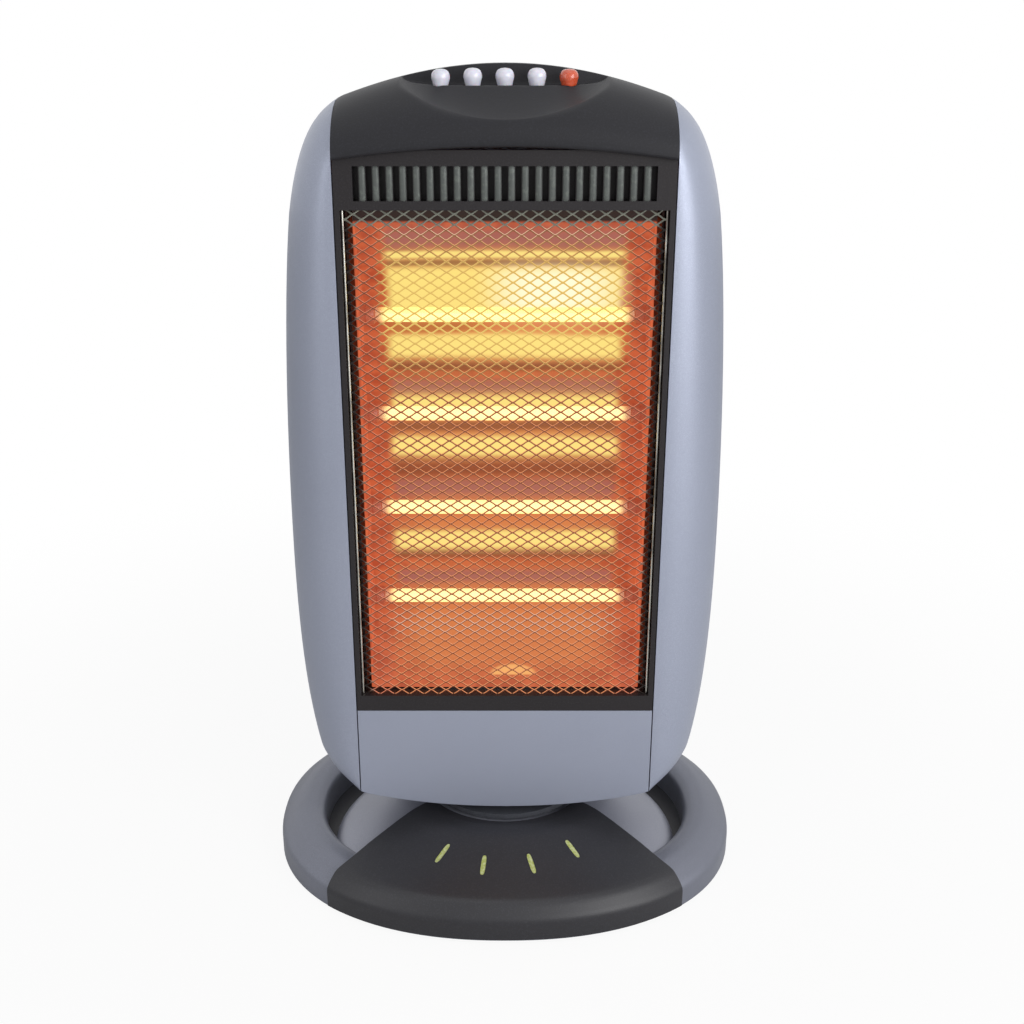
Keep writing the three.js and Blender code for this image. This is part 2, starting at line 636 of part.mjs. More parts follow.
// Ceramic end cap of a tube, for the right end.
function endCap(side) {
  const body = alongX(CAP_RADIUS, CAP_OUTER_X - CAP_LENGTH, CAP_OUTER_X, 0, 0, 12);
  const spigot = alongX(CAP_SPIGOT, CAP_OUTER_X - 2, WINDOW_HALF - GAP, 0, 0, 10);
  const socket = alongX(TUBE_RADIUS + GAP, 0, TUBE_END_X + GAP, 0, 0, 12);
  const cap = join(body, spigot).subtract(socket);
  return side > 0 ? cap : cap.mirror([1, 0, 0]);
}

function thermalCutout() {
  const half = CUTOUT_RADIUS * 1.6;
  const can = alongY(CUTOUT_RADIUS, 0, CUTOUT_HEIGHT, 0, 0, 14);
  const flange = block([-half, half], [0, 1.2], [-CUTOUT_RADIUS / 2, CUTOUT_RADIUS / 2]);
  const tabs = [-CUTOUT_RADIUS / 2, CUTOUT_RADIUS / 2].map((x) =>
    block([x - 1.5, x + 1.5], [CUTOUT_HEIGHT - 0.5, CUTOUT_HEIGHT + 6], [-0.4, 0.4]));
  return join(can, flange, ...tabs);
}

// ---------------------------------------------------------------------------
// Buttons and the switch that they work
// ---------------------------------------------------------------------------

// Z 0 is the level of the shelf, and the top stands at height.
function button(height) {
  const profile = [
    [0, -BUTTON_SKIRT - STEM_LENGTH],
    [BUTTON_STEM, -BUTTON_SKIRT - STEM_LENGTH],
    [BUTTON_STEM, -BUTTON_SKIRT],
    [BUTTON_RADIUS, -BUTTON_SKIRT],
    [BUTTON_RADIUS, height - 2],
    [BUTTON_RADIUS - 1.2, height - 0.5],
    [0, height],
  ];
  const lathe = new THREE.LatheGeometry(profile.map(([r, z]) => new THREE.Vector2(r, z)), 14);
  return solid(lathe.rotateX(Math.PI / 2));
}

function switchBlock() {
  const half = (BUTTON_COUNT / 2) * BUTTON_PITCH + 4;
  const top = SHELF_Z - SWITCH_BELOW_SHELF;
  const body = block(
    [-half, half],
    [BUTTON_Y - SWITCH_DEPTH / 2, BUTTON_Y + SWITCH_DEPTH / 2],
    [top - SWITCH_HEIGHT, top],
  );
  const bores = Array.from({ length: BUTTON_COUNT }, (_, i) =>
    bar(BUTTON_STEM + 0.6, top - STEM_LENGTH - 1, top + 1, buttonX(i), BUTTON_Y, 10));
  const tabs = Array.from({ length: BUTTON_COUNT + 1 }, (_, i) => {
    const x = (i - BUTTON_COUNT / 2) * BUTTON_PITCH;
    return block([x - 0.4, x + 0.4], [BUTTON_Y - 3, BUTTON_Y + 3], [top - SWITCH_HEIGHT - 8, top - SWITCH_HEIGHT + 1]);
  });
  return cut(join(body, ...tabs), ...bores);
}

// ---------------------------------------------------------------------------
// Neck and swing drive
// ---------------------------------------------------------------------------

function headNeck() {
  const disc = bar(TURNTABLE_RADIUS, NECK_BOTTOM, NECK_BOTTOM + TURNTABLE_THICK, 0, 0, 32);
  const drum = bar(NECK_RADIUS, NECK_BOTTOM, NECK_FLANGE_Z + 1, 0, 0, 24);
  const flange = bar(NECK_FLANGE_RADIUS, NECK_FLANGE_Z + GAP, NECK_FLANGE_Z + 3, 0, 0, 20);
  const shaft = bar(SHAFT_RADIUS, SHAFT_BOTTOM + 3, NECK_BOTTOM + 1, 0, 0, 16);
  const stub = bar(SHAFT_RADIUS - 3, SHAFT_BOTTOM, SHAFT_BOTTOM + 4, 0, 0, 16);
  return join(disc, drum, flange, shaft, stub).subtract(bar(SHAFT_BORE, 0, FAR, 0, 0, 12));
}

// Outline of a gear with involute flanks, as [x, y] pairs. Only the teeth from first to last.
function gearOutline(teeth, first, last, phase) {
  const pitch = MODULE * teeth / 2;
  const root = pitch - 1.25 * MODULE;
  const tip = pitch + 0.95 * MODULE;
  const pressure = THREE.MathUtils.degToRad(20);
  const baseRadius = pitch * Math.cos(pressure);
  const involute = (radius) => {
    const angle = Math.acos(Math.min(baseRadius / radius, 1));
    return Math.tan(angle) - angle;
  };
  const halfAtPitch = Math.PI / (2 * teeth) - GEAR_BACKLASH / (4 * pitch);
  const start = [Math.max(root, baseRadius), pitch, tip];
  const half = (radius) => halfAtPitch + involute(pitch) - involute(radius);
  const foot = half(start[0]) + (Math.PI / teeth - half(start[0])) / 4;
  const points = [];
  for (let i = first; i <= last; i++) {
    const middle = phase + (i * 2 * Math.PI) / teeth;
    const at = (radius, angle) => points.push([radius * Math.cos(angle), radius * Math.sin(angle)]);
    at(root, middle - foot);
    start.forEach((radius) => at(radius, middle - half(radius)));
    [...start].reverse().forEach((radius) => at(radius, middle + half(radius)));
    at(root, middle + foot);
  }
  return points;
}

// Toothed sector on the neck's shaft: its teeth face the front.
function sectorGear() {
  const z0 = GEAR_Z + 0.5;
  const side = Math.floor(SECTOR_TEETH * SECTOR_SPAN / 720);
  const teeth = gearOutline(SECTOR_TEETH, -side, side, -Math.PI / 2);
  const sector = plate([...teeth, [0, 0]], z0, z0 + GEAR_THICK);
  const hub = bar(SHAFT_RADIUS + 5, SHAFT_BOTTOM + 3 + GAP, HUB_ROOF - GAP, 0, 0, 20);
  return join(sector, hub).subtract(bar(SHAFT_RADIUS + 2 * GAP, 0, FAR, 0, 0, 16));
}

function drivePinion() {
  // A gap of the pinion faces the sector's middle tooth.
  const phase = Math.PI / 2 + Math.PI / PINION_TEETH;
  const wheel = plate(gearOutline(PINION_TEETH, 0, PINION_TEETH - 1, phase), 0, GEAR_THICK + 1);
  const boss = bar(6, GEAR_THICK, GEAR_THICK + 4, 0, 0, 12);
  return join(wheel, boss).subtract(bar(MOTOR_SHAFT_RADIUS + GAP, -1, FAR, 0, 0, 10));
}

function swingMotor() {
  const can = bar(MOTOR_RADIUS, 0, MOTOR_HEIGHT, 0, 0, 20);
  const shaft = bar(MOTOR_SHAFT_RADIUS, MOTOR_HEIGHT - 1, MOTOR_HEIGHT + GEAR_THICK + 9, 0, 0, 10);
  const ears = block([-MOTOR_RADIUS - 8, MOTOR_RADIUS + 8], [-5, 5], [0, 2]);
  return join(can, shaft, ears);
}

// ---------------------------------------------------------------------------
// Base
// ---------------------------------------------------------------------------

// A horizontal loop between an ellipse and a rectangle in shape.
function oval(halfWidth, halfDepth, z, centreY = BASE_CENTRE_Y) {
  return Array.from({ length: OVAL_STEPS }, (_, i) => {
    const angle = (i * 2 * Math.PI) / OVAL_STEPS;
    const round = (v) => Math.sign(v) * Math.abs(v) ** (2 / BASE_SQUARENESS);
    return new THREE.Vector3(
      halfWidth * round(Math.cos(angle)),
      centreY + halfDepth * round(Math.sin(angle)),
      z,
    );
  });
}

const rim = (inward, z) => oval(BASE_HALF_WIDTH - inward, BASE_HALF_DEPTH - inward, z);

// The outer ring of the base as a filled form, inset all round. Its hole is the ring's inner wall.
function ringForm(inset, bottom) {
  const inner = RING_WIDTH - inset;
  const outside = RING_PROFILE.map(([inward, height]) =>
    rim(inset + inward * RING_WIDTH, height * RING_TOP - inset));
  const hole = RING_HOLE.map(([inward, height]) =>
    rim(inner + inward * RING_WIDTH, height * RING_TOP - inset));
  const filled = loft([rim(inset, bottom), ...outside, rim(inner, RING_TOP - inset)]);
  return filled.subtract(loft([rim(inner, bottom - 1), ...hole]));
}

// An oval on the way in from a wide outline, given as [half width, half depth, centre], to the round
// top of the hub.
function towardsHub([halfWidth, halfDepth, centreY], share, z, grown) {
  return oval(
    THREE.MathUtils.lerp(halfWidth, HUB_TOP_RADIUS, share) + grown,
    THREE.MathUtils.lerp(halfDepth, HUB_TOP_RADIUS, share) + grown,
    z,
    THREE.MathUtils.lerp(centreY, 0, share),
  );
}

function coneForm(outline, profile, grown, bottom) {
  const loops = profile.map(([share, height]) =>
    towardsHub(outline, share, height * HUB_TOP + grown, grown));
  return loft([towardsHub(outline, 0, bottom, grown), ...loops]);
}

// The middle of the base: a low cone that carries the neck.
const hubForm = (inset, bottom) =>
  coneForm([HUB_HALF_WIDTH, HUB_HALF_DEPTH, HUB_CENTRE_Y], HUB_PROFILE, -inset, bottom);

// The deck under the front cover runs from the rim up to the hub's top. Proud lifts it all over.
const deckForm = (proud, bottom) =>
  coneForm([BASE_HALF_WIDTH, BASE_HALF_DEPTH, BASE_CENTRE_Y], DECK_PROFILE, proud, bottom);

// Plan of the front cover: a fan that widens to the front edge.
function fan(grown, innerRadius, z0 = -1, z1 = FAR) {
  const right = FAN_SIDE.map(([across, forward]) =>
    [across * BASE_HALF_WIDTH + grown, -forward * BASE_HALF_DEPTH]);
  const left = right.map(([x, y]) => [-x, y]);
  const reach = plate([[0, 0], ...left, ...right.reverse()], z0, z1);
  return reach.subtract(bar(innerRadius, z0 - 1, z1 + 1, 0, 0, 32));
}

const bothSides = (x, y) => [[-x, y], [x, y]];
const SCREW_PLACES = [
  ...bothSides(HUB_HALF_WIDTH - FRONT_SCREW_INSET, HUB_CENTRE_Y - FRONT_SCREW_FORWARD),
  ...bothSides(HUB_HALF_WIDTH - REAR_SCREW_INSET, HUB_CENTRE_Y + REAR_SCREW_BACK),
];
const PLUNGER_PLACE = [HUB_HALF_WIDTH - PLUNGER_INSET, HUB_CENTRE_Y + PLUNGER_BACK];
const FOOT_PLACES = [-1, 1].flatMap((side) => [
  [side * (BASE_HALF_WIDTH - FOOT_FROM_SIDE), BASE_CENTRE_Y - BASE_HALF_DEPTH + FOOT_FROM_FRONT],
  [side * (BASE_HALF_WIDTH - FOOT_FROM_SIDE), BASE_CENTRE_Y + BASE_HALF_DEPTH - FOOT_FROM_REAR],
]);

function baseShell() {
  const bottom = BASE_LIFT;
  const inside = PLATE_TOP + GAP;
  const deck = deckForm(0, inside).intersect(fan(0, 1));
  const hollowDeck = deckForm(-WALL, bottom - 2).intersect(fan(-WALL, 1));
  const filled = join(ringForm(0, bottom), hubForm(0, inside), deck);
  const plateSpace = loft([rim(WALL, bottom - 1), rim(WALL, inside)]);
  const hollow = join(
    ringForm(WALL, bottom - 1),
    hubForm(WALL, bottom - 1),
    hollowDeck,
  );
  const roof = join(hubForm(WALL / 2, inside), deckForm(-WALL / 2, inside).intersect(fan(-WALL / 2, 1)));
  const bosses = SCREW_PLACES.map(([x, y]) => bar(BOSS_RADIUS, inside, HUB_TOP, x, y, 8).intersect(roof));
  const bores = SCREW_PLACES.map(([x, y]) => bar(SCREW_RADIUS + GAP, 0, inside + BASE_SCREW_LENGTH + 1, x, y, 8));
  const neckHole = bar(SHAFT_RADIUS + 2, 0, FAR, 0, 0, 20);
  const shell = cut(filled, hollow, plateSpace);
  const recess = fan(GAP, 1).subtract(deckForm(0, -2));
  return cut(join(shell, ...bosses), ...bores, neckHole, recess);
}

function baseFrontCover() {
  const skin = deckForm(FRONT_COVER_THICK, BASE_LIFT).subtract(deckForm(GAP, BASE_LIFT - 1));
  const cover = skin.intersect(fan(0, TURNTABLE_RADIUS + 4));
  const marks = Array.from({ length: 4 }, (_, i) => {
    const angle = THREE.MathUtils.degToRad((i - 1.5) * MARK_FAN);
    const geometry = new THREE.BoxGeometry(MARK_WIDTH, MARK_LENGTH, 30);
    geometry.translate(0, -MARK_REACH + Math.abs(i - 1.5) * MARK_BOW, 0).rotateZ(angle);
    return solid(geometry.translate(0, 0, RING_TOP)).subtract(deckForm(FRONT_COVER_THICK - MARK_DEPTH, 0));
  });
  return cut(cover, ...marks);
}

function basePlate() {
  const sheet = loft([rim(WALL + GAP, PLATE_LIFT), rim(WALL + GAP, PLATE_TOP)]);
  const holes = SCREW_PLACES.map(([x, y]) => bar(SCREW_RADIUS + GAP, 0, 20, x, y, 8));
  const [plungerX, plungerY] = PLUNGER_PLACE;
  return cut(sheet, ...holes, bar(4, 0, 20, plungerX, plungerY, 10));
}

const foot = () => bar(FOOT_RADIUS - 1, 0, PLATE_LIFT - GAP, 0, 0, 16, FOOT_RADIUS);

function baseScrew() {
  const head = bar(SCREW_HEAD_RADIUS, 0, 1.7, 0, 0, 10);
  const shank = bar(SCREW_RADIUS, 1.5, BASE_SCREW_LENGTH, 0, 0, 8);
  return join(head, shank);
}

function tipSwitch() {
  const body = block([-12, 12], [-9, 9], [0, TIP_SWITCH_HEIGHT]);
  const lugs = block([-18, 18], [-4, 4], [0, 2]);
  return join(body, lugs).subtract(bar(3.1, -1, TIP_SWITCH_HEIGHT - 2, 0, 0, 12));
}

function tipPlunger() {
  const rod = bar(2.6, 0, 15, 0, 0, 12);
  return join(rod, bar(6, 0, 2.4, 0, 0, 16));
}

// ---------------------------------------------------------------------------
// Materials
// ---------------------------------------------------------------------------

const finish = (color, roughness, metalness = 0) =>
  new THREE.MeshStandardMaterial({ color, roughness, metalness });
const GREY = finish(0x9ba1ad, 0.42);
const BLACK = finish(0x333336, 0.45);
const WHITE = finish(0xe4e4f0, 0.25);
const ORANGE = finish(0xcc5a34, 0.3);
const CHROME = finish(0xc9ccd0, 0.2, 1);
const STEEL = finish(0xa8a8a8, 0.35, 1);
const MIRROR = finish(0xdadada, 0.08, 1);
const QUARTZ = finish(0xf4d27a, 0.05);
const TUNGSTEN = finish(0xffc35a, 0.5, 1);
const CERAMIC = finish(0xe6dfd0, 0.6);
const RUBBER = finish(0x1d1d1d, 0.8);
const ACETAL = finish(0xdedbd0, 0.4);

// ---------------------------------------------------------------------------
// Assembly
// ---------------------------------------------------------------------------

const heater = new THREE.Group();
const head = new THREE.Group();
const base = new THREE.Group();
heater.name = 'halogen_heater';
heater.add(head, base);

function add(parent, name, shape, material, x = 0, y = 0, z = 0) {
  const mesh = new THREE.Mesh(surface(shape), material);
  mesh.name = name;
  mesh.position.set(x, y, z);
  parent.add(mesh);
}

// Covers
add(head, 'top_cover', topCover(), BLACK);
add(head, 'front_frame', frontFrame(), BLACK);
add(head, 'side_panel_left', sidePanel(-1), GREY);
add(head, 'side_panel_right', sidePanel(1), GREY);
add(head, 'lower_panel', lowerPanel(), GREY);
add(head, 'rear_housing', rearHousing(), GREY);
postPlaces.forEach(([side, z], i) => {
  add(head, `rear_screw_${i + 1}`, rearScrew(), STEEL, side * POST_X, SEAM_Y + 8 + GAP, z);
});
add(head, 'cord_gland', cordGland(), RUBBER, GLAND_X, REAR_Y, GLAND_Z);

// Heating side
add(head, 'mesh_guard', meshGuard(), CHROME);
add(head, 'reflector', reflector(), MIRROR);
add(head, 'tube_carrier_left', tubeCarrier(-1), STEEL);
add(head, 'tube_carrier_right', tubeCarrier(1), STEEL);
for (let i = 0; i < TUBE_COUNT; i++) {
  add(head, `halogen_tube_${i + 1}`, halogenTube(), QUARTZ, 0, TUBE_Y, tubeZ(i));
  add(head, `filament_${i + 1}`, filament(), TUNGSTEN, 0, TUBE_Y, tubeZ(i));
  add(head, `end_cap_${i + 1}_left`, endCap(-1), CERAMIC, 0, TUBE_Y, tubeZ(i));
  add(head, `end_cap_${i + 1}_right`, endCap(1), CERAMIC, 0, TUBE_Y, tubeZ(i));
}
const cutoutY = RIDGE_Y + TROUGH_DEPTH + REFLECTOR_SHEET + GAP;
add(head, 'thermal_cutout', thermalCutout(), STEEL, 0, cutoutY, tubeZ(0));

// Controls
add(head, 'switch_block', switchBlock(), BLACK);
for (let i = 0; i < BUTTON_COUNT; i++) {
  const outer = i === 0 || i === BUTTON_COUNT - 1;
  const height = outer ? BUTTON_UP : BUTTON_UP - BUTTON_LATCHED;
  const colour = i === BUTTON_COUNT - 1 ? ORANGE : WHITE;
  add(head, `button_${i + 1}`, button(height), colour, buttonX(i), BUTTON_Y, SHELF_Z);
}
const terminals = block(
  [-TERMINAL_WIDTH / 2, TERMINAL_WIDTH / 2],
  [TERMINAL_Y - TERMINAL_DEPTH / 2, TERMINAL_Y + TERMINAL_DEPTH / 2],
  [NECK_FLANGE_Z + 3 + GAP, NECK_FLANGE_Z + 3 + TERMINAL_HEIGHT],
);
add(head, 'terminal_block', terminals, CERAMIC);

// Neck and drive
add(head, 'head_neck', headNeck(), GREY);
add(head, 'sector_gear', sectorGear(), ACETAL);
add(head, 'neck_retaining_ring', tube(SHAFT_RADIUS + 4, SHAFT_RADIUS - 3 + GAP, SHAFT_BOTTOM, SHAFT_BOTTOM + 3), STEEL);
add(base, 'bearing_ring', tube(TURNTABLE_RADIUS - 6, TURNTABLE_RADIUS - 16, HUB_TOP + GAP, NECK_BOTTOM - GAP), ACETAL);
add(base, 'swing_motor', swingMotor(), STEEL, 0, MOTOR_Y, PLATE_TOP + GAP);
add(base, 'drive_pinion', drivePinion(), ACETAL, 0, MOTOR_Y, GEAR_Z);

// Base
add(base, 'base_shell', baseShell(), GREY);
add(base, 'base_front_cover', baseFrontCover(), BLACK);
add(base, 'base_plate', basePlate(), BLACK);
FOOT_PLACES.forEach(([x, y], i) => {
  add(base, `foot_${i + 1}`, foot(), RUBBER, x, y, 0);
});
SCREW_PLACES.forEach(([x, y], i) => {
  add(base, `base_screw_${i + 1}`, baseScrew(), STEEL, x, y, PLATE_LIFT - GAP - 1.7);
});
add(base, 'tip_switch', tipSwitch(), BLACK, ...PLUNGER_PLACE, PLATE_TOP + GAP);
add(base, 'tip_plunger', tipPlunger(), ACETAL, ...PLUNGER_PLACE, 0);

export default heater;
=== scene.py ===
# %% [markdown]
# # A halogen heater, dressed for its picture
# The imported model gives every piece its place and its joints, but its faces are few. This lesson
# loads it as a fixed frame and lays finer pieces over it: moulded covers, a fine wire guard, four
# glowing tubes. Each piece rides on the body that carries it, so the head still swings.
# %% Load the frame
import math

import bmesh
import bpy
import numpy as np
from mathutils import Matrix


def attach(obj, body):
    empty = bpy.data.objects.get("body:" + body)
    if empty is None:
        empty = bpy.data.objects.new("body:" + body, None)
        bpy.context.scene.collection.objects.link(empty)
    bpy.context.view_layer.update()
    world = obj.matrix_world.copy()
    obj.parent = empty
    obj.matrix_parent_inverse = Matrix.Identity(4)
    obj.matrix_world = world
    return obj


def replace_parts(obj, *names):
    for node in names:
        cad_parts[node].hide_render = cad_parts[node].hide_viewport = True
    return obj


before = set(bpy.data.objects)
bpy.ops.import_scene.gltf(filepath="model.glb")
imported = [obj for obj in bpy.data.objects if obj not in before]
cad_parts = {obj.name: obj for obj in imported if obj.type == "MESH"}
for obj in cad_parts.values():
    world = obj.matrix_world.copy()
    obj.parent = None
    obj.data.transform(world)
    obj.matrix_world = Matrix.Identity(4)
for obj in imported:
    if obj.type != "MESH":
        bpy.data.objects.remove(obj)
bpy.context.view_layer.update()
HEAD, BASE = "head", "base"

# %% [markdown]
# Sizes are easier to read in millimetres, and Blender works in metres here. So the numbers below are
# millimetres, and one factor turns them into metres when a mesh is made. Colours are noted from 0 to
# 255, as a screen shows them, while a shader wants linear light, so a helper turns one into the other.
# %% Units and colours
MM = 0.001


def light(red, green, blue):
    """A colour as a screen shows it, 0 to 255, in the linear light that a shader uses."""
    def one(value):
        value /= 255
        return value / 12.92 if value <= 0.04045 else ((value + 0.055) / 1.055) ** 2.4
    return one(red), one(green), one(blue), 1.0


print("mid grey is", round(light(128, 128, 128)[0], 3), "in linear light")

# %% [markdown]
# The camera stands where the photographer stood: straight in front, a little above the heater's top,
# looking down at it. A 44 mm lens on a 36 mm film is what the converging side edges ask for.
# %% Camera
camera_data = bpy.data.cameras.new("camera")
camera_data.lens = 43.95
camera_data.sensor_width = 36
camera_data.shift_x = 0.007
camera = bpy.data.objects.new("camera", camera_data)
camera.location = (0, -0.863, 0.600)
camera.rotation_euler = (math.radians(69.3), 0, 0)
bpy.context.scene.collection.objects.link(camera)
bpy.context.scene.camera = camera
bpy.context.scene.view_settings.view_transform = "Standard"
print("camera", tuple(round(v, 3) for v in camera.location), "lens", camera_data.lens)

# %% [markdown]
# ## Materials written as sums
# Most finishes are arithmetic on patterns: a noise times a small number, one minus a mask. Node by
# node that is hard to read. Here a small class wraps a socket, so that an expression on it adds the
# Math nodes by itself. Colours never go through Math nodes, which would turn them grey: they are
# blended by a Mix node.
# %% A socket that can be reckoned with
class Value:
    """A number that varies over a surface. The usual signs make the Math nodes."""

    def __init__(self, finish, socket):
        self.finish, self.socket = finish, socket

    def _with(self, operation, *others):
        return self.finish.node("ShaderNodeMath", {"operation": operation}, {
            index: other for index, other in enumerate((self, *others))})

    def __add__(self, other):
        return self._with("ADD", other)

    def __sub__(self, other):
        return self._with("SUBTRACT", other)

    def __rsub__(self, other):
        return (self * -1) + other

    def __mul__(self, other):
        return self._with("MULTIPLY", other)

    def __truediv__(self, other):
        return self._with("DIVIDE", other)

    def __rtruediv__(self, other):
        return (self._with("POWER", -1.0)) * other

    def __pow__(self, other):
        return self._with("POWER", other)

    def __abs__(self):
        return self._with("ABSOLUTE")

    __radd__ = __add__
    __rmul__ = __mul__

    def at_most(self, other):
        return self._with("MINIMUM", other)

    def above(self, edge, soft):
        """0 below edge, 1 above it, with a soft step between."""
        return self.finish.node("ShaderNodeMapRange", {"interpolation_type": "SMOOTHSTEP"}, {
            "Value": self, "From Min": edge - soft, "From Max": edge + soft})


print("sums ready")


# %% [markdown]
# A finish is a material with one Principled shader. Its one method for nodes takes the node's type,
# its settings, and what goes in its sockets. Settings come first, because some of them change which
# sockets there are.
# %% A finish
class Finish:
    def __init__(self, name, **constants):
        self.material = bpy.data.materials.new(name)
        self.material.use_nodes = True
        self.tree = self.material.node_tree
        self.shader = self.tree.nodes["Principled BSDF"]
        for socket, value in constants.items():
            self.shader.inputs[socket.replace("_", " ")].default_value = value

    def node(self, kind, settings=None, sockets=None, out=0):
        made = self.tree.nodes.new(kind)
        for name, value in (settings or {}).items():
            setattr(made, name, value)
        for name, value in (sockets or {}).items():
            socket = made.inputs[name]
            if isinstance(value, Value):
                self.tree.links.new(value.socket, socket)
            else:
                socket.default_value = value
        return Value(self, made.outputs[out])

    def feed(self, socket, value):
        self.tree.links.new(value.socket, self.shader.inputs[socket])
        return self

    def place(self, axis=None):
        """Where a point is, in metres, in the heater's own frame."""
        where = self.node("ShaderNodeTexCoord", out=3)
        if axis is None:
            return where
        return self.node("ShaderNodeSeparateXYZ", None, {0: where}, out=axis)

    def noise(self, scale, detail=3.0, rough=0.5, stretch=(1, 1, 1)):
        where = self.node("ShaderNodeMapping", None, {"Vector": self.place(), "Scale": stretch})
        return self.node("ShaderNodeTexNoise", None, {
            "Vector": where, "Scale": scale, "Detail": detail, "Roughness": rough})

    def blend(self, amount, low, high):
        """Two colours, or values that hold colours, mixed by amount."""
        return self.node("ShaderNodeMix", {"data_type": "RGBA"}, {0: amount, 6: low, 7: high}, out=2)

    def bump(self, height, distance):
        return self.feed("Normal", self.node("ShaderNodeBump", None, {
            "Height": height, "Distance": distance, "Strength": 1.0}))

    def on(self, *names):
        """Gives the finish to every slot of these frame nodes."""
        for name in names:
            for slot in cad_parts[name].material_slots:
                slot.material = self.material


print("finishes ready")

# %% [markdown]
# ## The moulded plastics
# The silver panels are grey plastic with fine metal flakes in the paint. The flakes are a very fine
# noise that lifts the colour and the gloss together, and a wider noise gives the slight unevenness
# that a sprayed coat has. A tiny bump gives it the pebbled skin of a mould.
# %% Silver paints


def silver_paint(name, shade, bright, dull):
    finish = Finish(name, Coat_Roughness=0.35, Coat_Weight=0.15)
    flakes, cloud = finish.noise(2600, 2.0, 0.6), finish.noise(9, 4.0, 0.55)
    paint = finish.blend(flakes.above(0.56, 0.09) * 0.5, shade, bright)
    finish.feed("Base Color", finish.blend(cloud.above(0.55, 0.2) * 0.25, paint, dull))
    finish.feed("Metallic", flakes.above(0.5, 0.2) * 0.35 + 0.25)
    finish.feed("Roughness", cloud * 0.12 + 0.36)
    return finish.bump(finish.noise(1500, 2.0), 0.00004)


silver = silver_paint("silver_paint", light(152, 158, 176), light(188, 194, 210), light(142, 148, 165))
base_silver = silver_paint("base_silver", light(116, 119, 131), light(150, 153, 166), light(104, 107, 119))
# The hub takes a lighter copy of the base's silver: painted light, for the brighter light on it.
lit_hub_silver = silver_paint("lit_hub_silver", light(144, 146, 158), light(178, 180, 190), light(132, 134, 146))
print("silver paints made")

# %% [markdown]
# The black covers are unpainted. Their mould was spark-eroded, which leaves a fine even grain, so
# the shine is broad and soft. Handling leaves faint lighter and darker clouds in the gloss.
# %% Black plastic


def black_plastic(name, shade, pale, gloss, grain=900, shine=0.25):
    finish = Finish(name, Specular_IOR_Level=shine)
    grains = finish.noise(grain, 3.0, 0.6)
    cloud = finish.noise(14, 3.0)
    finish.feed("Base Color", finish.blend(grains.above(0.58, 0.1) * 0.35 + cloud * 0.1, shade, pale))
    finish.feed("Roughness", cloud * 0.14 + grains * 0.08 + (gloss - 0.1))
    return finish.bump(grains, 0.00008)


cover_black = black_plastic("cover_black", light(31, 31, 35), light(46, 46, 53), 0.48, 900, 0.27)
frame_black = black_plastic("frame_black", light(38, 35, 37), light(58, 56, 58), 0.4)
base_black = black_plastic("base_black", light(40, 40, 44), light(60, 60, 66), 0.4, 900, 0.42)
# The neck's darker grey is painted shade, for the shadow that the head casts on it.
shaded_neck_grey = black_plastic("shaded_neck_grey", light(62, 64, 70), light(84, 86, 92), 0.5)
gland_rubber = black_plastic("gland_rubber", light(26, 26, 27), light(44, 44, 45), 0.7, 500)
print("black plastics made")

# %% [markdown]
# The little keys are glossy moulded plastic. One plain colour would look like a disc of paper, so
# each has a faint cloud in its colour, a touch of light passing through it and a glossy coat.
# %% Key plastics


def key_plastic(name, shade, deep):
    finish = Finish(name, Coat_Weight=0.6, Coat_Roughness=0.08,
                    Subsurface_Weight=0.15, Subsurface_Scale=0.002)
    cloud = finish.noise(260, 2.0)
    finish.feed("Base Color", finish.blend(cloud, shade, deep))
    finish.feed("Roughness", cloud * 0.1 + 0.2)
    return finish.bump(finish.noise(700, 1.0), 0.00003)


key_white = key_plastic("key_white", light(240, 240, 250), light(214, 214, 232))
key_orange = key_plastic("key_orange", light(226, 96, 58), light(196, 74, 42))
print("key plastics made")

# %% [markdown]
# ## The metals
# Sheet steel has fine lines from rolling, all in one direction. A noise that is squeezed hard along
# one axis draws them, in both the gloss and the relief.
# %% Rolled steel


def rolled_metal(name, shade, dull, rough, stretch=(8, 500, 500)):
    finish = Finish(name)
    lines = finish.noise(1, 3.0, 0.6, stretch)
    stain = finish.noise(40, 4.0)
    finish.feed("Base Color", finish.blend(stain.above(0.55, 0.15), shade, dull))
    finish.feed("Metallic", 1 - stain.above(0.7, 0.1) * 0.3)
    finish.feed("Roughness", lines * 0.2 + stain * 0.1 + (rough - 0.15))
    return finish.bump(lines, 0.00003)


steel = rolled_metal("rolled_steel", light(176, 176, 178), light(140, 138, 138), 0.4)
screw_steel = rolled_metal("screw_steel", light(150, 150, 154), light(110, 108, 108), 0.35, (300, 300, 20))
print("metals made")

# %% [markdown]
# ## The head's form
# Every cover of the head is cut from one form. Seen from the front, its outline swells like a
# barrel. Seen from above, it is flat in front, bulges to the sides and slims towards the back. The
# outline is a chain of curves, and the form is a stack of those outlines from front to back. The
# frame has the same form in few facets, so the numbers here are the frame's, sampled more finely.
# %% Outline of the head
HEAD_TOP, HEAD_BOTTOM, HEAD_HALF = 586, 55, 154.7
COLUMN, SEAM_GAP = 108, 0.4  # half the width between the side panels, and half a seam
INSIDE_SEAM, BESIDE_SEAM = COLUMN - SEAM_GAP, COLUMN + SEAM_GAP
FRONT, WIDEST, SEAM, REAR = -60, -10, 6, 55  # places along y, front to back


def curve(points, steps):
    """Points along a curve with two or three handles, without its first point."""
    share = (np.arange(steps) + 1)[:, None] / steps
    points = [np.array(p, float) for p in points]
    while len(points) > 1:
        points = [a + (b - a) * share for a, b in zip(points, points[1:])]
    return points[0]


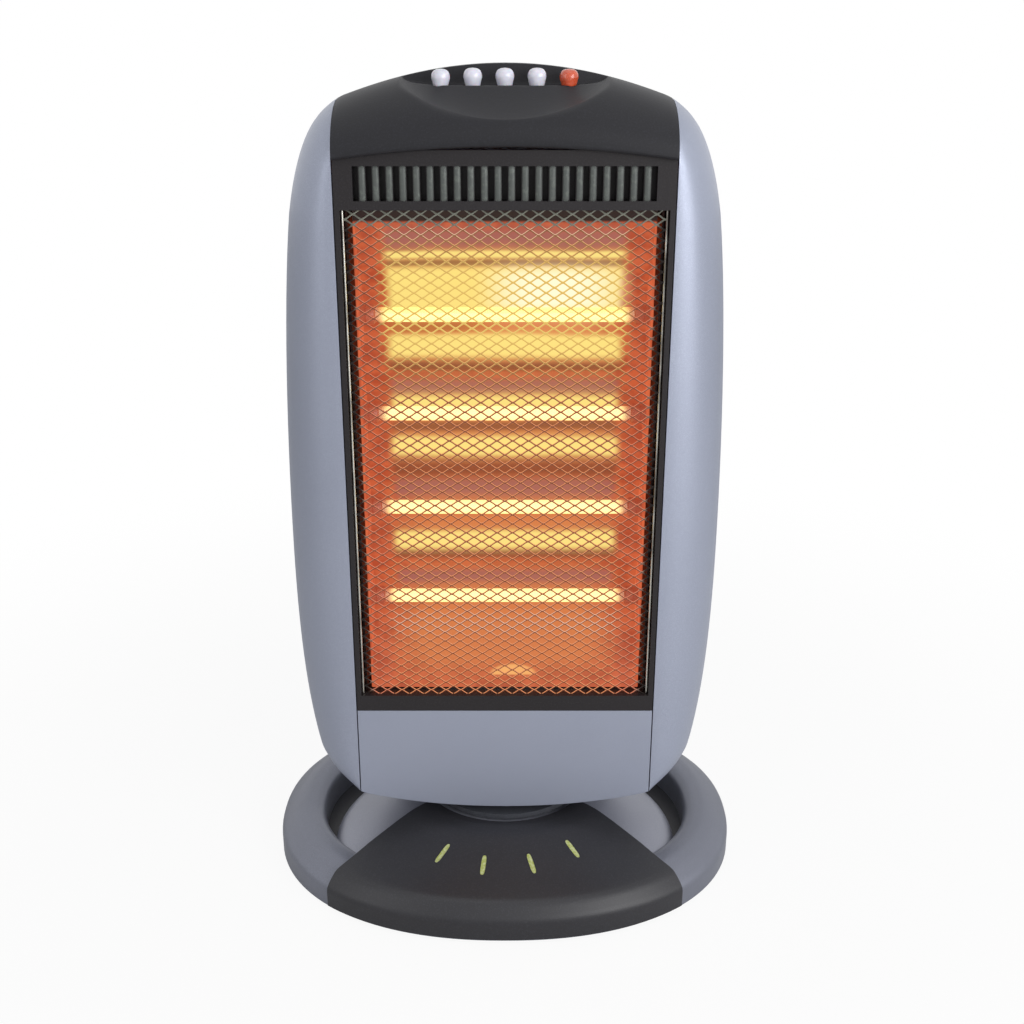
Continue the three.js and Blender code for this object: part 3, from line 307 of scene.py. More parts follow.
def head_outline(steps=14):
    def low(z): return HEAD_BOTTOM + z
    def high(z): return HEAD_TOP - z
    def out(x): return HEAD_HALF - x
    runs = [
        [(0, low(0)), (60, low(0)), (COLUMN + 2, low(15))],
        [(COLUMN + 2, low(15)), (out(26), low(21)), (out(16), low(28)), (out(11), low(44))],
        [(out(11), low(44)), (out(3), low(85)), (out(0), low(135)), (out(0), low(200))],
        [(out(0), low(200)), (out(0), high(240)), (out(4), high(150)), (out(11.3), high(93))],
        [(out(11.3), high(93)), (out(16), high(64)), (out(24), high(40)), (out(36), high(29))],
        [(out(36), high(29)), (COLUMN + 2, high(21)), (COLUMN - 6, high(18.5))],
        [(COLUMN - 6, high(18.5)), (50, high(0)), (0, high(0))],
    ]
    right = np.vstack([[runs[0][0]]] + [curve(run, steps) for run in runs])
    left = right[1:-1][::-1] * (-1, 1)
    return np.vstack([right, left])


def moved_in(loop, inset):
    along = np.roll(loop, -1, 0) - np.roll(loop, 1, 0)
    along /= np.linalg.norm(along, axis=1)[:, None]
    return loop + np.stack([-along[:, 1], along[:, 0]], 1) * inset


print("outline points:", len(head_outline()))

# %% [markdown]
# The loops swell by a quarter turn from the flat front to the widest place, and slim by another one
# to the rear. The front leans back at the top, which the crown needs too, so it has its own helper.
# %% Loops of the head, front to back
TOP_BAND, TOP_DROP = (HEAD_TOP - HEAD_BOTTOM) * 0.3, 45
FOOT_BAND, FOOT_RISE = 65, 5
REAR_NARROWER, REAR_LOWER = 0.3, 0.06


def leaned(z, grown):
    """Heights with the top lowered at the front: all of it where grown is 0, nothing where it is 1."""
    high = np.clip(z - HEAD_TOP + TOP_BAND, 0, None) / TOP_BAND
    return z - TOP_DROP * (1 - grown) * high ** 2


def front_loop(outline, degrees, front):
    """The outline at one step of the front's quarter turn: 0 is the flat front, 90 the widest place."""
    grown = math.sin(math.radians(degrees))
    y = WIDEST + (front - WIDEST) * math.cos(math.radians(degrees))
    x, z = outline.T
    low = np.clip(HEAD_BOTTOM + FOOT_BAND - z, 0, None) / FOOT_BAND
    beyond = np.clip(abs(x) - COLUMN, 0, None)
    return np.stack([
        x - np.sign(x) * beyond * (1 - grown),
        np.full(len(x), y),
        leaned(z, grown) + FOOT_RISE * (1 - grown) * low ** 2], 1)


def rear_loop(outline, degrees, rear):
    slim = 1 - math.cos(math.radians(degrees))
    y = SEAM + 2 + (rear - SEAM - 2) * math.sin(math.radians(degrees))
    x, z = outline.T
    middle = (HEAD_TOP + HEAD_BOTTOM) / 2
    return np.stack([
        x * (1 - REAR_NARROWER * slim),
        np.full(len(x), y),
        middle + (z - middle) * (1 - REAR_LOWER * slim)], 1)


def head_loops(inset=0.0):
    outline = moved_in(head_outline(), inset)
    fronts = [front_loop(outline, d, FRONT + inset) for d in (0, 4, 9, 15, 22, 30, 39, 49, 60, 75, 90)]
    rears = [rear_loop(outline, d, REAR - inset) for d in (0, 12, 24, 35, 46, 57, 68, 79, 90)]
    return fronts + rears


print("head loops:", len(head_loops()))


# %% [markdown]
# ## From points to meshes
# Two builders make nearly every piece: a closed skin through a stack of loops, and a carve that
# cuts one solid with another and throws the tool away. A carved edge is then dead sharp, and no
# moulded edge is, so a narrow bevel rounds it until it catches the light.
# %% Mesh builders
SHARP = math.radians(50)


def piece(name, points, faces, finish=None, body=None):
    mesh = bpy.data.meshes.new(name)
    mesh.from_pydata([tuple(p) for p in np.asarray(points) * MM], [], [list(map(int, f)) for f in faces])
    mesh.validate()
    made = bpy.data.objects.new(name, mesh)
    bpy.context.scene.collection.objects.link(made)
    tidy = bmesh.new()
    tidy.from_mesh(mesh)
    bmesh.ops.recalc_face_normals(tidy, faces=tidy.faces)
    tidy.to_mesh(mesh)
    tidy.free()
    if finish:
        mesh.materials.append(finish.material)
    if body:
        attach(made, body)
    return made


def stack_faces(rows, count, closed=True, start=0):
    """Faces between loops that follow one another, and between the points of each loop."""
    last = count if closed else count - 1
    return [(start + r * count + i, start + r * count + (i + 1) % count,
             start + (r + 1) * count + (i + 1) % count, start + (r + 1) * count + i)
            for r in range(rows - 1) for i in range(last)]


def loft(name, loops, finish=None, body=None):
    count = len(loops[0])
    faces = stack_faces(len(loops), count)
    faces += [range(count), range((len(loops) - 1) * count, len(loops) * count)]
    return piece(name, np.vstack(loops), faces, finish, body)


def block(x, y, z):
    corners = [(a, b, c) for c in z for a, b in ((x[0], y[0]), (x[1], y[0]), (x[1], y[1]), (x[0], y[1]))]
    return loft("block", [corners[:4], corners[4:]])


def rod(radius, start, end, sides=32):
    """A round tool between two points."""
    start, end = np.array(start, float), np.array(end, float)
    along = (end - start) / np.linalg.norm(end - start)
    side = np.cross(along, (0, 0, 1) if abs(along[2]) < 0.9 else (1, 0, 0))
    side /= np.linalg.norm(side)
    turn = np.linspace(0, 2 * math.pi, sides, False)[:, None]
    ring = radius * (np.cos(turn) * side + np.sin(turn) * np.cross(along, side))
    return loft("rod", [start + ring, end + ring])


def together(tools):
    """Joins tools that stand apart into one, so that a single cut does the work of many."""
    joined = bmesh.new()
    for tool in tools:
        joined.from_mesh(tool.data)
    joined.to_mesh(tools[0].data)
    joined.free()
    for tool in tools[1:]:
        bpy.data.objects.remove(tool)
    return tools[0]


def carve(target, tool, how="DIFFERENCE", crosses_itself=False):
    cutter = target.modifiers.new("carve", "BOOLEAN")
    cutter.operation, cutter.solver, cutter.object = how, "EXACT", tool
    cutter.use_self = crosses_itself
    settle(target)
    gone = tool.data
    bpy.data.objects.remove(tool)
    bpy.data.meshes.remove(gone)
    return target


def settle(target):
    """Makes the modifiers' result the mesh itself."""
    shape = target.evaluated_get(bpy.context.evaluated_depsgraph_get())
    fresh = bpy.data.meshes.new_from_object(shape)
    old, target.data = target.data, fresh
    target.modifiers.clear()
    bpy.data.meshes.remove(old)
    return target


def soften(target, width=0.5, segments=2, angle=35, finish=None, body=None, name=None):
    """Rounds the sharp edges, shades the rest smooth, and dresses the piece."""
    bevel = target.modifiers.new("rounded", "BEVEL")
    bevel.width, bevel.segments, bevel.limit_method = width * MM, segments, "ANGLE"
    bevel.angle_limit, bevel.harden_normals = math.radians(angle), False
    settle(target)
    target.data.shade_smooth()
    target.data.set_sharp_from_angle(angle=SHARP)
    weigh = target.modifiers.new("even", "WEIGHTED_NORMAL")
    weigh.keep_sharp = True
    settle(target)
    if finish:
        target.data.materials.clear()
        target.data.materials.append(finish.material)
    if name:
        target.name = name
    if body:
        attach(target, body)
    print(target.name, len(target.data.polygons), "faces")
    return target


print("mesh builders ready")

# %% [markdown]
# ## Covers of the head
# A cover is a thin shell: the head's form, less the same form moved in by a wall, kept only where
# the cover reaches. The two side panels, the panel under the window and the rear housing are all
# made that way, so their seams run true from one to the next.
# %% Side panels and lower panel
WALL = 2.5
FAR = 400  # beyond the object on every side
WINDOW = (153.7, 499.4)
RAIL = WINDOW[0] - 12.4
NECK_HOLE = 39


def shell():
    return carve(loft("shell", head_loops()), loft("hollow", head_loops(WALL)))


def shell_part(name, x, node):
    part = carve(shell(), block(x, (-FAR, SEAM), (0, 2 * HEAD_TOP)), "INTERSECT")
    part = soften(part, 0.7, 3, 40, silver, HEAD, name)
    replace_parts(part, node)


def neck_hole():
    return rod(NECK_HOLE, (0, 0, 0), (0, 0, HEAD_BOTTOM + 11), 64)


shell_part("silver_panel_right", (BESIDE_SEAM, FAR), "side_panel_right")
shell_part("silver_panel_left", (-FAR, -BESIDE_SEAM), "side_panel_left")
lower = carve(shell(), block((-INSIDE_SEAM, INSIDE_SEAM), (-FAR, SEAM), (0, RAIL)), "INTERSECT")
lower = carve(lower, neck_hole())
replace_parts(soften(lower, 0.7, 3, 40, silver, HEAD, "silver_lower_panel"), "lower_panel")

# %% [markdown]
# The rear housing is what closes the head from behind. It has a hollow to carry it by, two blocks
# of slots that let air in to cool the reflector, and sunk holes for four screws.
# %% Rear housing
GRIP_Z, GRIP_HALF_X, GRIP_HALF_Z, GRIP_DEPTH = HEAD_TOP - 62, 58, 15, 20
SLOT_HALF_X, SLOT_HALF_Z, SLOT_PITCH = 56, 1.7, 9
SCREW_X, SCREW_HOLE = 123.35, 4.4
POSTS = [(side * SCREW_X, z) for side in (1, -1) for z in (HEAD_TOP - 118, HEAD_BOTTOM + 92)]


def grip_tool(grown):
    """The hand hollow as a solid with a sloped edge to its floor, larger all round by grown."""
    turn = np.linspace(0, 2 * math.pi, 64, False)
    floor_y = REAR - GRIP_DEPTH - grown
    loops = []
    for slope, y in ((3, floor_y), (0, floor_y + 3), (0, REAR + GRIP_DEPTH)):
        x = (GRIP_HALF_X + grown - slope) * np.cos(turn)
        z = (GRIP_HALF_Z + grown - slope) * np.sin(turn)
        loops.append(np.stack([x, np.full(64, y), GRIP_Z + z], 1))
    return loft("grip", loops)


housing = carve(loft("housing", head_loops()), grip_tool(0))
housing = carve(housing, carve(loft("hollow", head_loops(WALL)), grip_tool(WALL)))
housing = carve(housing, block((-FAR, FAR), (SEAM + 0.6, FAR), (0, 2 * HEAD_TOP)), "INTERSECT")
slots = [GRIP_Z - 36 - i * SLOT_PITCH for i in range(9)]
slots += [WINDOW[0] + 6 + i * SLOT_PITCH for i in range(7)]
housing = carve(housing, together([
    block((-SLOT_HALF_X, SLOT_HALF_X), (REAR - 5, REAR + 2), (z - SLOT_HALF_Z, z + SLOT_HALF_Z))
    for z in slots]))
housing = carve(housing, together([rod(SCREW_HOLE, (x, 10, z), (x, REAR + 5, z)) for x, z in POSTS]))
housing = carve(housing, neck_hole())
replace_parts(soften(housing, 0.5, 2, 40, silver, HEAD, "silver_rear_housing"), "rear_housing")

# %% [markdown]
# ## The black crown
# The top cover bulges over the controls, and a hollow is scooped out of it in front of the keys.
# Both surfaces are heights over the same plan, so the lower of the two is the cover. Taking a
# smooth lowest, rather than a sharp one, rolls the lip of the hollow over as a mould would.
# %% Top cover
PROUD = 6  # how far the cover stands before the frame
COVER_EDGE, ARCH, COVER_WALL = HEAD_TOP - 56, 8, 2
KEYS = [(i - 2) * 20.3 for i in range(5)]
KEY_Y, KEY_HOLE, SHELF_DROP = -27, 6.3, 13
SHELF = HEAD_TOP - SHELF_DROP
SCOOP_HALF, SCOOP_BACK, SHELF_DEPTH, BACK_RUN = 66, -13, 25, 4
LIP_MIDDLE, LIP_SIDE, LIP_ROLL = (-63.5, 554), (-45, 573), 2.0  # y and z of the hollow's front edge


def between(low, high, share):
    return low + (high - low) * share


def lowest(a, b, round_by):
    """The lower of two heights, with the corner rounded where they cross."""
    mix = np.clip(0.5 + 0.5 * (b - a) / round_by, 0, 1)
    return b + (a - b) * mix - round_by * mix * (1 - mix)


def crown_height(x, degrees):
    """Place along y of the bulging cover at one step of the quarter turn, and its height at x."""
    outline = head_outline(40)
    half = outline[:len(outline) // 2 + 1]
    top = half[half[:, 1] > HEAD_TOP - 60]
    order = np.argsort(top[:, 0])
    z = np.interp(np.abs(x), top[order, 0], top[order, 1])
    y = WIDEST + (FRONT - PROUD - WIDEST) * np.cos(np.radians(degrees))
    return y, leaned(z, np.sin(np.radians(degrees)))


def scoop_height(x, y):
    """Floor of the hollow: a shelf for the keys, then a dish that runs out at an arc in front."""
    aside = (x / SCOOP_HALF) ** 2
    size = np.sqrt(np.clip(1 - aside, 0, None)).clip(0.05)
    shelf = HEAD_TOP - x ** 2 / 621 - SHELF_DROP * size
    lip_y, lip = (between(middle, side, aside) for middle, side in zip(LIP_MIDDLE, LIP_SIDE))
    shelf_y = SCOOP_BACK - SHELF_DEPTH * size
    ahead = np.clip((shelf_y - y) / np.maximum(shelf_y - lip_y, 4), 0, None)
    dish = shelf - (shelf - lip) * ahead * (1.45 - 0.45 * np.minimum(ahead, 1))
    wall = np.clip((y - SCOOP_BACK + BACK_RUN * size) / (BACK_RUN * size), 0, None) ** 2
    return dish + wall * SHELF_DROP * size * 1.15


def crown_row(y, z):
    return np.stack([columns, np.full(len(columns), y), z], 1)


columns = np.linspace(-INSIDE_SEAM, INSIDE_SEAM, 181)
arch_z = COVER_EDGE + ARCH * (1 - (columns / COLUMN) ** 2)
proud_y = FRONT - PROUD
rolled_edge = [(FRONT + 1, 0.6), (proud_y + 1.6, 0), (proud_y + 0.5, 0.4), (proud_y, 1.6)]
crown_rows = [crown_row(y, arch_z + z) for y, z in rolled_edge]
for degrees in [*np.linspace(0, 60, 61), *np.linspace(61, 90, 60)]:
    y, z = crown_height(columns, degrees)
    z = np.where(np.abs(columns) < SCOOP_HALF, lowest(z, scoop_height(columns, y), LIP_ROLL), z)
    crown_rows.append(crown_row(y, np.maximum(z, arch_z + 1.8)))
crown_rows.append(crown_row(SEAM, crown_height(columns, 90)[1]))
crown = piece("crown", np.vstack(crown_rows), stack_faces(len(crown_rows), len(columns), False))
thick = crown.modifiers.new("thick", "SOLIDIFY")
thick.thickness, thick.offset = COVER_WALL * MM, -1
settle(crown)
key_holes = together([rod(KEY_HOLE, (x, KEY_Y, SHELF - 12), (x, KEY_Y, SHELF + 30), 40) for x in KEYS])
crown = carve(crown, key_holes, crosses_itself=True)
assert len(crown.data.polygons) > 20000, "the key holes took the whole cover away"
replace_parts(soften(crown, 0.5, 2, 60, cover_black, HEAD, "black_crown"), "top_cover")

# %% [markdown]
# ## Window frame and vents
# Under the crown a black frame surrounds the window. Warm air leaves through a row of slots above
# it. Two strips behind the seams beside the frame keep the inside of the head out of sight there, up
# to a little under the crown.
# %% Front frame
VENTS, VENT_PITCH, VENT_HALF = 23, 8.5, 1.9
WINDOW_HALF, FRAME_FOOT = 104.3, RAIL + 0.3
SEAM_STRIPS = [(106.9, 2), (110, 2.7)]  # half width, and how far behind the front
front_frame = block((-INSIDE_SEAM, INSIDE_SEAM), (FRONT, FRONT + WALL), (FRAME_FOOT, COVER_EDGE + 6))
walls = block((-106.2, 106.2), (FRONT, FRONT + 44), (WINDOW[0] - 2, WINDOW[1] + 2))
front_frame = carve(front_frame, walls, "UNION")
for half, behind in SEAM_STRIPS:
    strip = block((-half, half), (FRONT + behind, FRONT + 4.4), (FRAME_FOOT, COVER_EDGE - 8))
    front_frame = carve(front_frame, strip, "UNION")
front_frame = carve(front_frame, block((-WINDOW_HALF, WINDOW_HALF), (-FAR, FAR), WINDOW))
vent_x = [(i - (VENTS - 1) / 2) * VENT_PITCH for i in range(VENTS)]
vent_z = (WINDOW[1] + 5.6, COVER_EDGE - 3.6)
front_frame = carve(front_frame, together([
    block((x - VENT_HALF, x + VENT_HALF), (-FAR, FAR), vent_z) for x in vent_x]))
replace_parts(soften(front_frame, 0.6, 3, 40, frame_black, HEAD, "black_window_frame"), "front_frame")

# %% [markdown]
# Each bar between two slots carries a rounded rib. Its half-round section, with both ends tapered
# away, is what makes a row of vents read as fine vertical strokes of light.
# %% Vent ribs
rib_grey = black_plastic("rib_grey", light(84, 88, 86), light(120, 126, 120), 0.34, 300)
RIB_STEPS = [(505, 0.2), (506, 0.8), (507.4, 1), (524, 1), (525.6, 0.8), (526.6, 0.2)]  # z, fullness
RIB_HALF, RIB_PROUD, RIB_ARC = 2.1, 1.5, 9
rib_points, rib_faces = [], []
for i in range(VENTS - 1):
    x = (i - (VENTS - 2) / 2) * VENT_PITCH
    start = len(rib_points)
    for z, share in RIB_STEPS:
        for turn in np.linspace(0, math.pi, RIB_ARC):
            rib_points.append((x + RIB_HALF * math.cos(turn) * (0.6 + 0.4 * share),
                               FRONT + 0.3 - RIB_PROUD * share * math.sin(turn), z))
    rib_faces += stack_faces(len(RIB_STEPS), RIB_ARC, False, start)
    rib_faces += [range(start, start + RIB_ARC), range(len(rib_points) - RIB_ARC, len(rib_points))]
ribs = piece("vent_ribs", rib_points, rib_faces, rib_grey, HEAD)
ribs.data.shade_smooth()
print("ribs:", VENTS - 1)

# %% [markdown]
# Behind the slots the air channel lies in shade. A black sheet closes it from the lit reflector below,
# as the real channel's floor does, and is painted shade there too, so that the slots show as dark
# strokes and not as orange ones.
# %% Air channel
channel = block((-100, 100), (FRONT + 9, FRONT + 10), (WINDOW[1] + 2.4, COVER_EDGE + 2))
soften(channel, 0.2, 1, 40, frame_black, HEAD, "air_channel_floor_and_shade")

# %% [markdown]
# ## The glow
# The reflector is a polished sheet bent into a trough behind each tube. In use it carries the
# colours of the fire: yellow beside a tube, orange further out, brown on the ridges between. The
# real light does some of this, but a viewer without ray tracing would show a grey sheet. So the
# glow is painted as emission, from the height of a point and its distance from the middle.
# %% Reflector glow
TUBE_Y, TUBE_R = -28, 5
TUBES = [426.8, 357.7, 288.5, 219.4]
glow = Finish("reflector_glow", Metallic=0.6, Roughness=0.35, Emission_Strength=1.0)
height, side_x = glow.place(2) * 1000, glow.place(0) * 1000
across = abs(side_x)
wavering = height + (glow.noise(14, 3.0, 0.5, (1, 1, 3)) - 0.5) * 5


def hump(value, at, half, crisp=4.0):
    """1 where the value is close to at, falling off beyond half the width."""
    return 1 / (1 + abs((value - at) / half) ** crisp)


def band(at, half, crisp=4.0):
    """A hump of the height, which draws a level band with a slightly wavering edge."""
    return hump(wavering, at, half, crisp)


# Yellow painted reflections of the tubes, brown painted shade on the ridges and mauve painted shade
# bands: height, half width and, for the reflections, how crisp.
TUBE_REFLECTIONS = [(468, 2.8, 4.0), (441, 18, 14.0), (403.5, 6.8, 8.0),
         (360.5, 6, 4.0), (332, 5.5, 6.0), (261.5, 5, 6.0)]
RIDGES = [(462, 2.4), (391.3, 3.2), (316, 8), (252.5, 4), (344, 3)]
MAUVES = [(479, 7), (373.5, 6.5), (298, 8), (228, 6)]
beside = 1 - across.above(79, 4)
warm = sum(band(z - 6, 22) for z in TUBES) + band(182, 14)
ends = glow.blend(glow.noise(70, 3.0).above(0.5, 0.14), light(170, 72, 44), light(196, 92, 56))
fire = glow.blend((warm * (1 - across.above(70, 26))).at_most(1), ends, light(206, 118, 66))
fire = glow.blend((sum(band(*m) for m in MAUVES) * beside * 0.8).at_most(1), fire, light(150, 94, 90))
fire = glow.blend((sum(band(*r) for r in RIDGES) * beside * 0.95).at_most(1), fire, light(128, 66, 42))
fire = glow.blend((sum(band(*f) for f in TUBE_REFLECTIONS) * beside).at_most(1), fire, light(246, 222, 126))
# A thin brown line of painted shade just under the top tube, on the left.
shade_line = band(415, 3.2) * (1 - side_x.above(-18, 22)) * beside
fire = glow.blend(shade_line, fire, light(176, 104, 54))
# A painted white highlight above the top tube, right of the middle.
white_reflection = band(441, 15, 6.0) * (1 - abs(side_x - 34).above(36, 22))
fire = glow.blend(white_reflection.at_most(1), fire, light(255, 250, 214))
# A painted highlight: a pale half oval low on the sheet, near its middle.
half_oval = ((side_x - 6) / 17) ** 2 + ((height - 163.5) / 6.5) ** 2
light_spot = (1 - half_oval.above(0.9, 0.3)) * height.above(163, 0.8)
fire = glow.blend(light_spot, fire, light(240, 172, 100))
# Painted shade along the sheet's top edge, in its emission and in its base colour.
top_shade = height.above(490.6, 1.2)
fire = glow.blend(top_shade, fire, light(40, 30, 28))
glow.feed("Base Color", glow.blend(top_shade, light(70, 42, 32), light(30, 26, 26)))
glow.feed("Emission Color", fire)
glow.bump(glow.noise(60, 2.0, 0.5, (1, 1, 4)), 0.0006)
print("glow painted round tubes at", TUBES)

# %% [markdown]
# The sheet has a parabola for its section behind each tube. It is drawn once and carried across the
# window, then given the thickness of sheet metal, painted in front and bare steel behind.
# %% Reflector sheet
SHEET_Y, SHEET_HALF, SHEET_WALL = FRONT + 11, 97.2, 0.8
TROUGH_BACK, TROUGH_DEPTH, TROUGH_STEPS = -10, 22, 24
profile = [(SHEET_Y, WINDOW[1] - 1.3)]
ridge_pitch = (WINDOW[1] - WINDOW[0]) / 5
for i, z in enumerate(TUBES):
    for step in range(1 if i else 0, TROUGH_STEPS + 1):
        share = 2 * step / TROUGH_STEPS - 1
        y = TROUGH_BACK - TROUGH_DEPTH + TROUGH_DEPTH * (1 - share ** 2)
        profile.append((y, z + ridge_pitch / 2 - (1 + share) * ridge_pitch / 2))
profile.append((SHEET_Y, WINDOW[0] + 1.3))
sheet_rows = [[(x, y, z) for y, z in profile] for x in np.linspace(-SHEET_HALF, SHEET_HALF, 9)]
sheet = piece("sheet", np.vstack(sheet_rows), stack_faces(len(sheet_rows), len(profile), False))
thick = sheet.modifiers.new("thick", "SOLIDIFY")
thick.thickness, thick.offset = SHEET_WALL * MM, 0
soften(sheet, 0.2, 1, 60, glow, HEAD, "glowing_reflector")
sheet.data.materials.append(steel.material)
for face in sheet.data.polygons:
    face.material_index = 1 if face.normal.y > 0.02 else 0
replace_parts(sheet, "reflector")

# %% [markdown]
# A cheek closes the troughs at each side. It is a thin plate with a hole for each tube, and seen
# from the front its edge draws the straight side of the glow.
# %% Cheeks of the reflector
for side, word in ((-1, "left"), (1, "right")):
    cheek = block(sorted((side * 97.0, side * 97.6)), (SHEET_Y, -9), (WINDOW[0] + 1.5, WINDOW[1] - 1.5))
    holes = [rod(7.3, (side * 90, TUBE_Y, z), (side * 110, TUBE_Y, z), 28) for z in TUBES]
    soften(carve(cheek, together(holes)), 0.15, 1, 50, glow, HEAD, f"reflector_cheek_{word}")

# %% [markdown]
# ## Tubes
# A halogen tube is a quartz tube with a coiled wire along its axis. Lit, both are far brighter than
# anything near, and a camera shows them as one pale yellow line. The tube's emission is a little
# stronger in its middle and dies away at the ends, where the coil stops.
# %% Lit quartz and coil
quartz = Finish("lit_quartz", Roughness=0.06, Coat_Weight=0.5, Emission_Strength=1.0)
from_middle = abs(quartz.place(0) * 1000)
quartz.feed("Base Color", quartz.blend(from_middle.above(84, 5), light(250, 226, 150), light(214, 170, 140)))
upper_half = (quartz.place(2) * 1000).above(428.5, 1)
hot_glass = quartz.blend(upper_half, light(255, 238, 160), light(242, 218, 126))
quartz.feed("Emission Color", quartz.blend(from_middle.above(82, 4), hot_glass, light(120, 62, 44)))
quartz.bump(quartz.noise(30, 1.0, 0.5, (1, 6, 6)), 0.0003)
coil = Finish("lit_coil", Roughness=0.5, Emission_Strength=1.0)
coil.feed("Base Color", coil.blend(coil.noise(400), light(255, 214, 120), light(250, 190, 90)))
coil.feed("Emission Color", coil.blend(coil.noise(200), light(255, 240, 190), light(255, 214, 120)))
ceramic = Finish("glazed_ceramic", Coat_Weight=0.3, Coat_Roughness=0.2)
ceramic_cloud = ceramic.noise(220, 4.0)
ceramic.feed("Base Color", ceramic.blend(ceramic_cloud, light(150, 84, 60), light(116, 60, 42)))
ceramic.feed("Roughness", ceramic_cloud * 0.2 + 0.4)
# The caps are no lamp: their orange emission is painted glow, the light of the tubes beside them.
ceramic.feed("Emission Color", ceramic.blend(ceramic_cloud, light(160, 74, 48), light(140, 60, 40)))
ceramic.shader.inputs["Emission Strength"].default_value = 0.8
ceramic.bump(ceramic_cloud, 0.0001)


def turned(name, profile_points, z, finish):
    """A piece turned about a tube's axis, from (x, radius) pairs."""
    sides = 28
    turn = np.linspace(0, 2 * math.pi, sides, False)
    loops = [np.stack([np.full(sides, x), TUBE_Y + r * np.cos(turn), z + r * np.sin(turn)], 1)
             for x, r in profile_points]
    made = loft(name, loops, finish, HEAD)
    made.data.shade_smooth()
    made.data.set_sharp_from_angle(angle=math.radians(40))
    return made


def coiled_wire(name, z):
    """A wire wound round a tube's axis: a small ring of points carried along a helix."""
    turns, per_turn, sides = 44, 8, 4
    lit_half, coil_radius, wire_radius = 82, 1.2, 0.35
    steps = turns * per_turn
    points = []
    for i in range(steps + 1):
        a = 2 * math.pi * i / per_turn
        centre = np.array([-lit_half + 2 * lit_half * i / steps,
                           TUBE_Y + coil_radius * math.cos(a), z + coil_radius * math.sin(a)])
        out = np.array([0, math.cos(a), math.sin(a)])
        for s in range(sides):
            b = 2 * math.pi * s / sides
            points.append(centre + wire_radius * (math.cos(b) * out + math.sin(b) * np.array([1.0, 0, 0])))
    both_ends = [range(sides), range(steps * sides, (steps + 1) * sides)]
    made = piece(name, points, stack_faces(steps + 1, sides) + both_ends, coil, HEAD)
    made.data.shade_smooth()
    return made


TUBE_END, TUBE_BORE = 93.2, 4.2
TUBE_PROFILE = [(-TUBE_END, TUBE_BORE), (-TUBE_END, TUBE_R), (TUBE_END, TUBE_R), (TUBE_END, TUBE_BORE)]
CAP_PROFILE = [(99.8, 6.4), (99.3, 7), (95.6, 7), (95.2, 6.3), (93.6, 6.3), (93.2, 7), (88.4, 7),
               (87.2, 6), (86.9, 5.2)]
for number, z in enumerate(TUBES, 1):
    tube = turned(f"lit_tube_{number}", TUBE_PROFILE, z, quartz)
    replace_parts(tube, f"halogen_tube_{number}")
    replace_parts(coiled_wire(f"lit_coil_{number}", z), f"filament_{number}")
    for side, word in ((-1, "left"), (1, "right")):
        cap = [(side * x, r) for x, r in CAP_PROFILE]
        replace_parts(turned(f"ceramic_cap_{number}_{word}", cap, z, ceramic), f"end_cap_{number}_{word}")
print("tubes made:", len(TUBES))

# %% [markdown]
# ## Wire guard
# The guard keeps hands off the tubes. Its wires are laid in zigzags that touch at their corners, so
# they leave rows of small diamonds. One zigzag is a strip of points with a four-sided section, and
# the guard is that strip repeated up the window, each row the mirror of the one below.
# %% Guard finish
# The wires are no lamp: their emission paints the fire's light on them, orange over the window, yellow by
# the top tube and pale in painted highlight rows under the bottom tube and near the top. Each wire's
# underside takes painted shade. Outside the glow the wires are grey, darkened by painted shade beside the
# window's sides.
guard = Finish("chrome_with_painted_glow", Metallic=0.5)
guard_z = guard.place(2) * 1000
guard_x = abs(guard.place(0) * 1000)
lit = (1 - guard_x.above(96, 3)) * (1 - guard_z.above(489, 1.5))
in_shade = guard_x.above(97, 1.5) * (1 - guard_z.above(489, 2))
unlit = guard.blend(in_shade, light(132, 134, 124), light(44, 36, 34))
guard.feed("Base Color", guard.blend(lit, unlit, light(110, 72, 54)))
guard.feed("Roughness", guard.noise(300) * 0.2 + 0.4)
guard.shader.inputs["Emission Strength"].default_value = 1.0
inner = 1 - guard_x.above(80, 5)
near_fire = hump(guard_z, 436, 34, 6.0) * inner
highlight_rows = (hump(guard_z, 211, 9) + hump(guard_z, 485, 5)) * inner
painted_glow = guard.blend(inner, light(206, 118, 88), light(216, 138, 88))
painted_glow = guard.blend(highlight_rows.at_most(1), painted_glow, light(222, 184, 160))
painted_glow = guard.blend(near_fire, painted_glow, light(226, 204, 112))
upward = guard.node("ShaderNodeSeparateXYZ", None, {0: guard.node("ShaderNodeNewGeometry", out=3)}, out=2)
# The undersides' colour is painted shade: dark brown, yellower near the top tube.
under = guard.blend(near_fire, light(84, 38, 26), light(204, 174, 86))
painted_glow = guard.blend(upward.above(0.05, 0.3), under, painted_glow)
guard.feed("Emission Color", guard.blend(lit, light(0, 0, 0), painted_glow))
guard.bump(guard.noise(900), 0.00005)
print("guard finish made")

# %% [markdown]
# Every wire is the same wave. Odd rows are its mirror image, so two rows meet at their crests and
# part again, which makes the diamonds. A faint weave in depth keeps the crests from merging.
# %% Guard wires
MESH_X, MESH_Z, PER_WAVE = 10.7, 6.65, 8
GUARD_Y, GUARD_HALF, WEAVE = FRONT + 4, 103.2, 0.18
low_z, high_z = WINDOW[0] + 1, WINDOW[1] - 1
rows = int((high_z - low_z) / (MESH_Z / 2))
xs = np.linspace(-GUARD_HALF, GUARD_HALF, int(2 * GUARD_HALF / MESH_X * PER_WAVE) + 1)
phase = xs / MESH_X % 1
triangle = 1 - 4 * np.abs(phase - 0.5)
wave = np.sin(np.clip(triangle, -0.92, 0.92) * math.pi / 2) * 0.35 + triangle * 0.65
section = [(0.4, 0.2), (0, 0.6), (-0.4, 0.2), (0, -0.7)]
points, faces, n = [], [], len(xs)
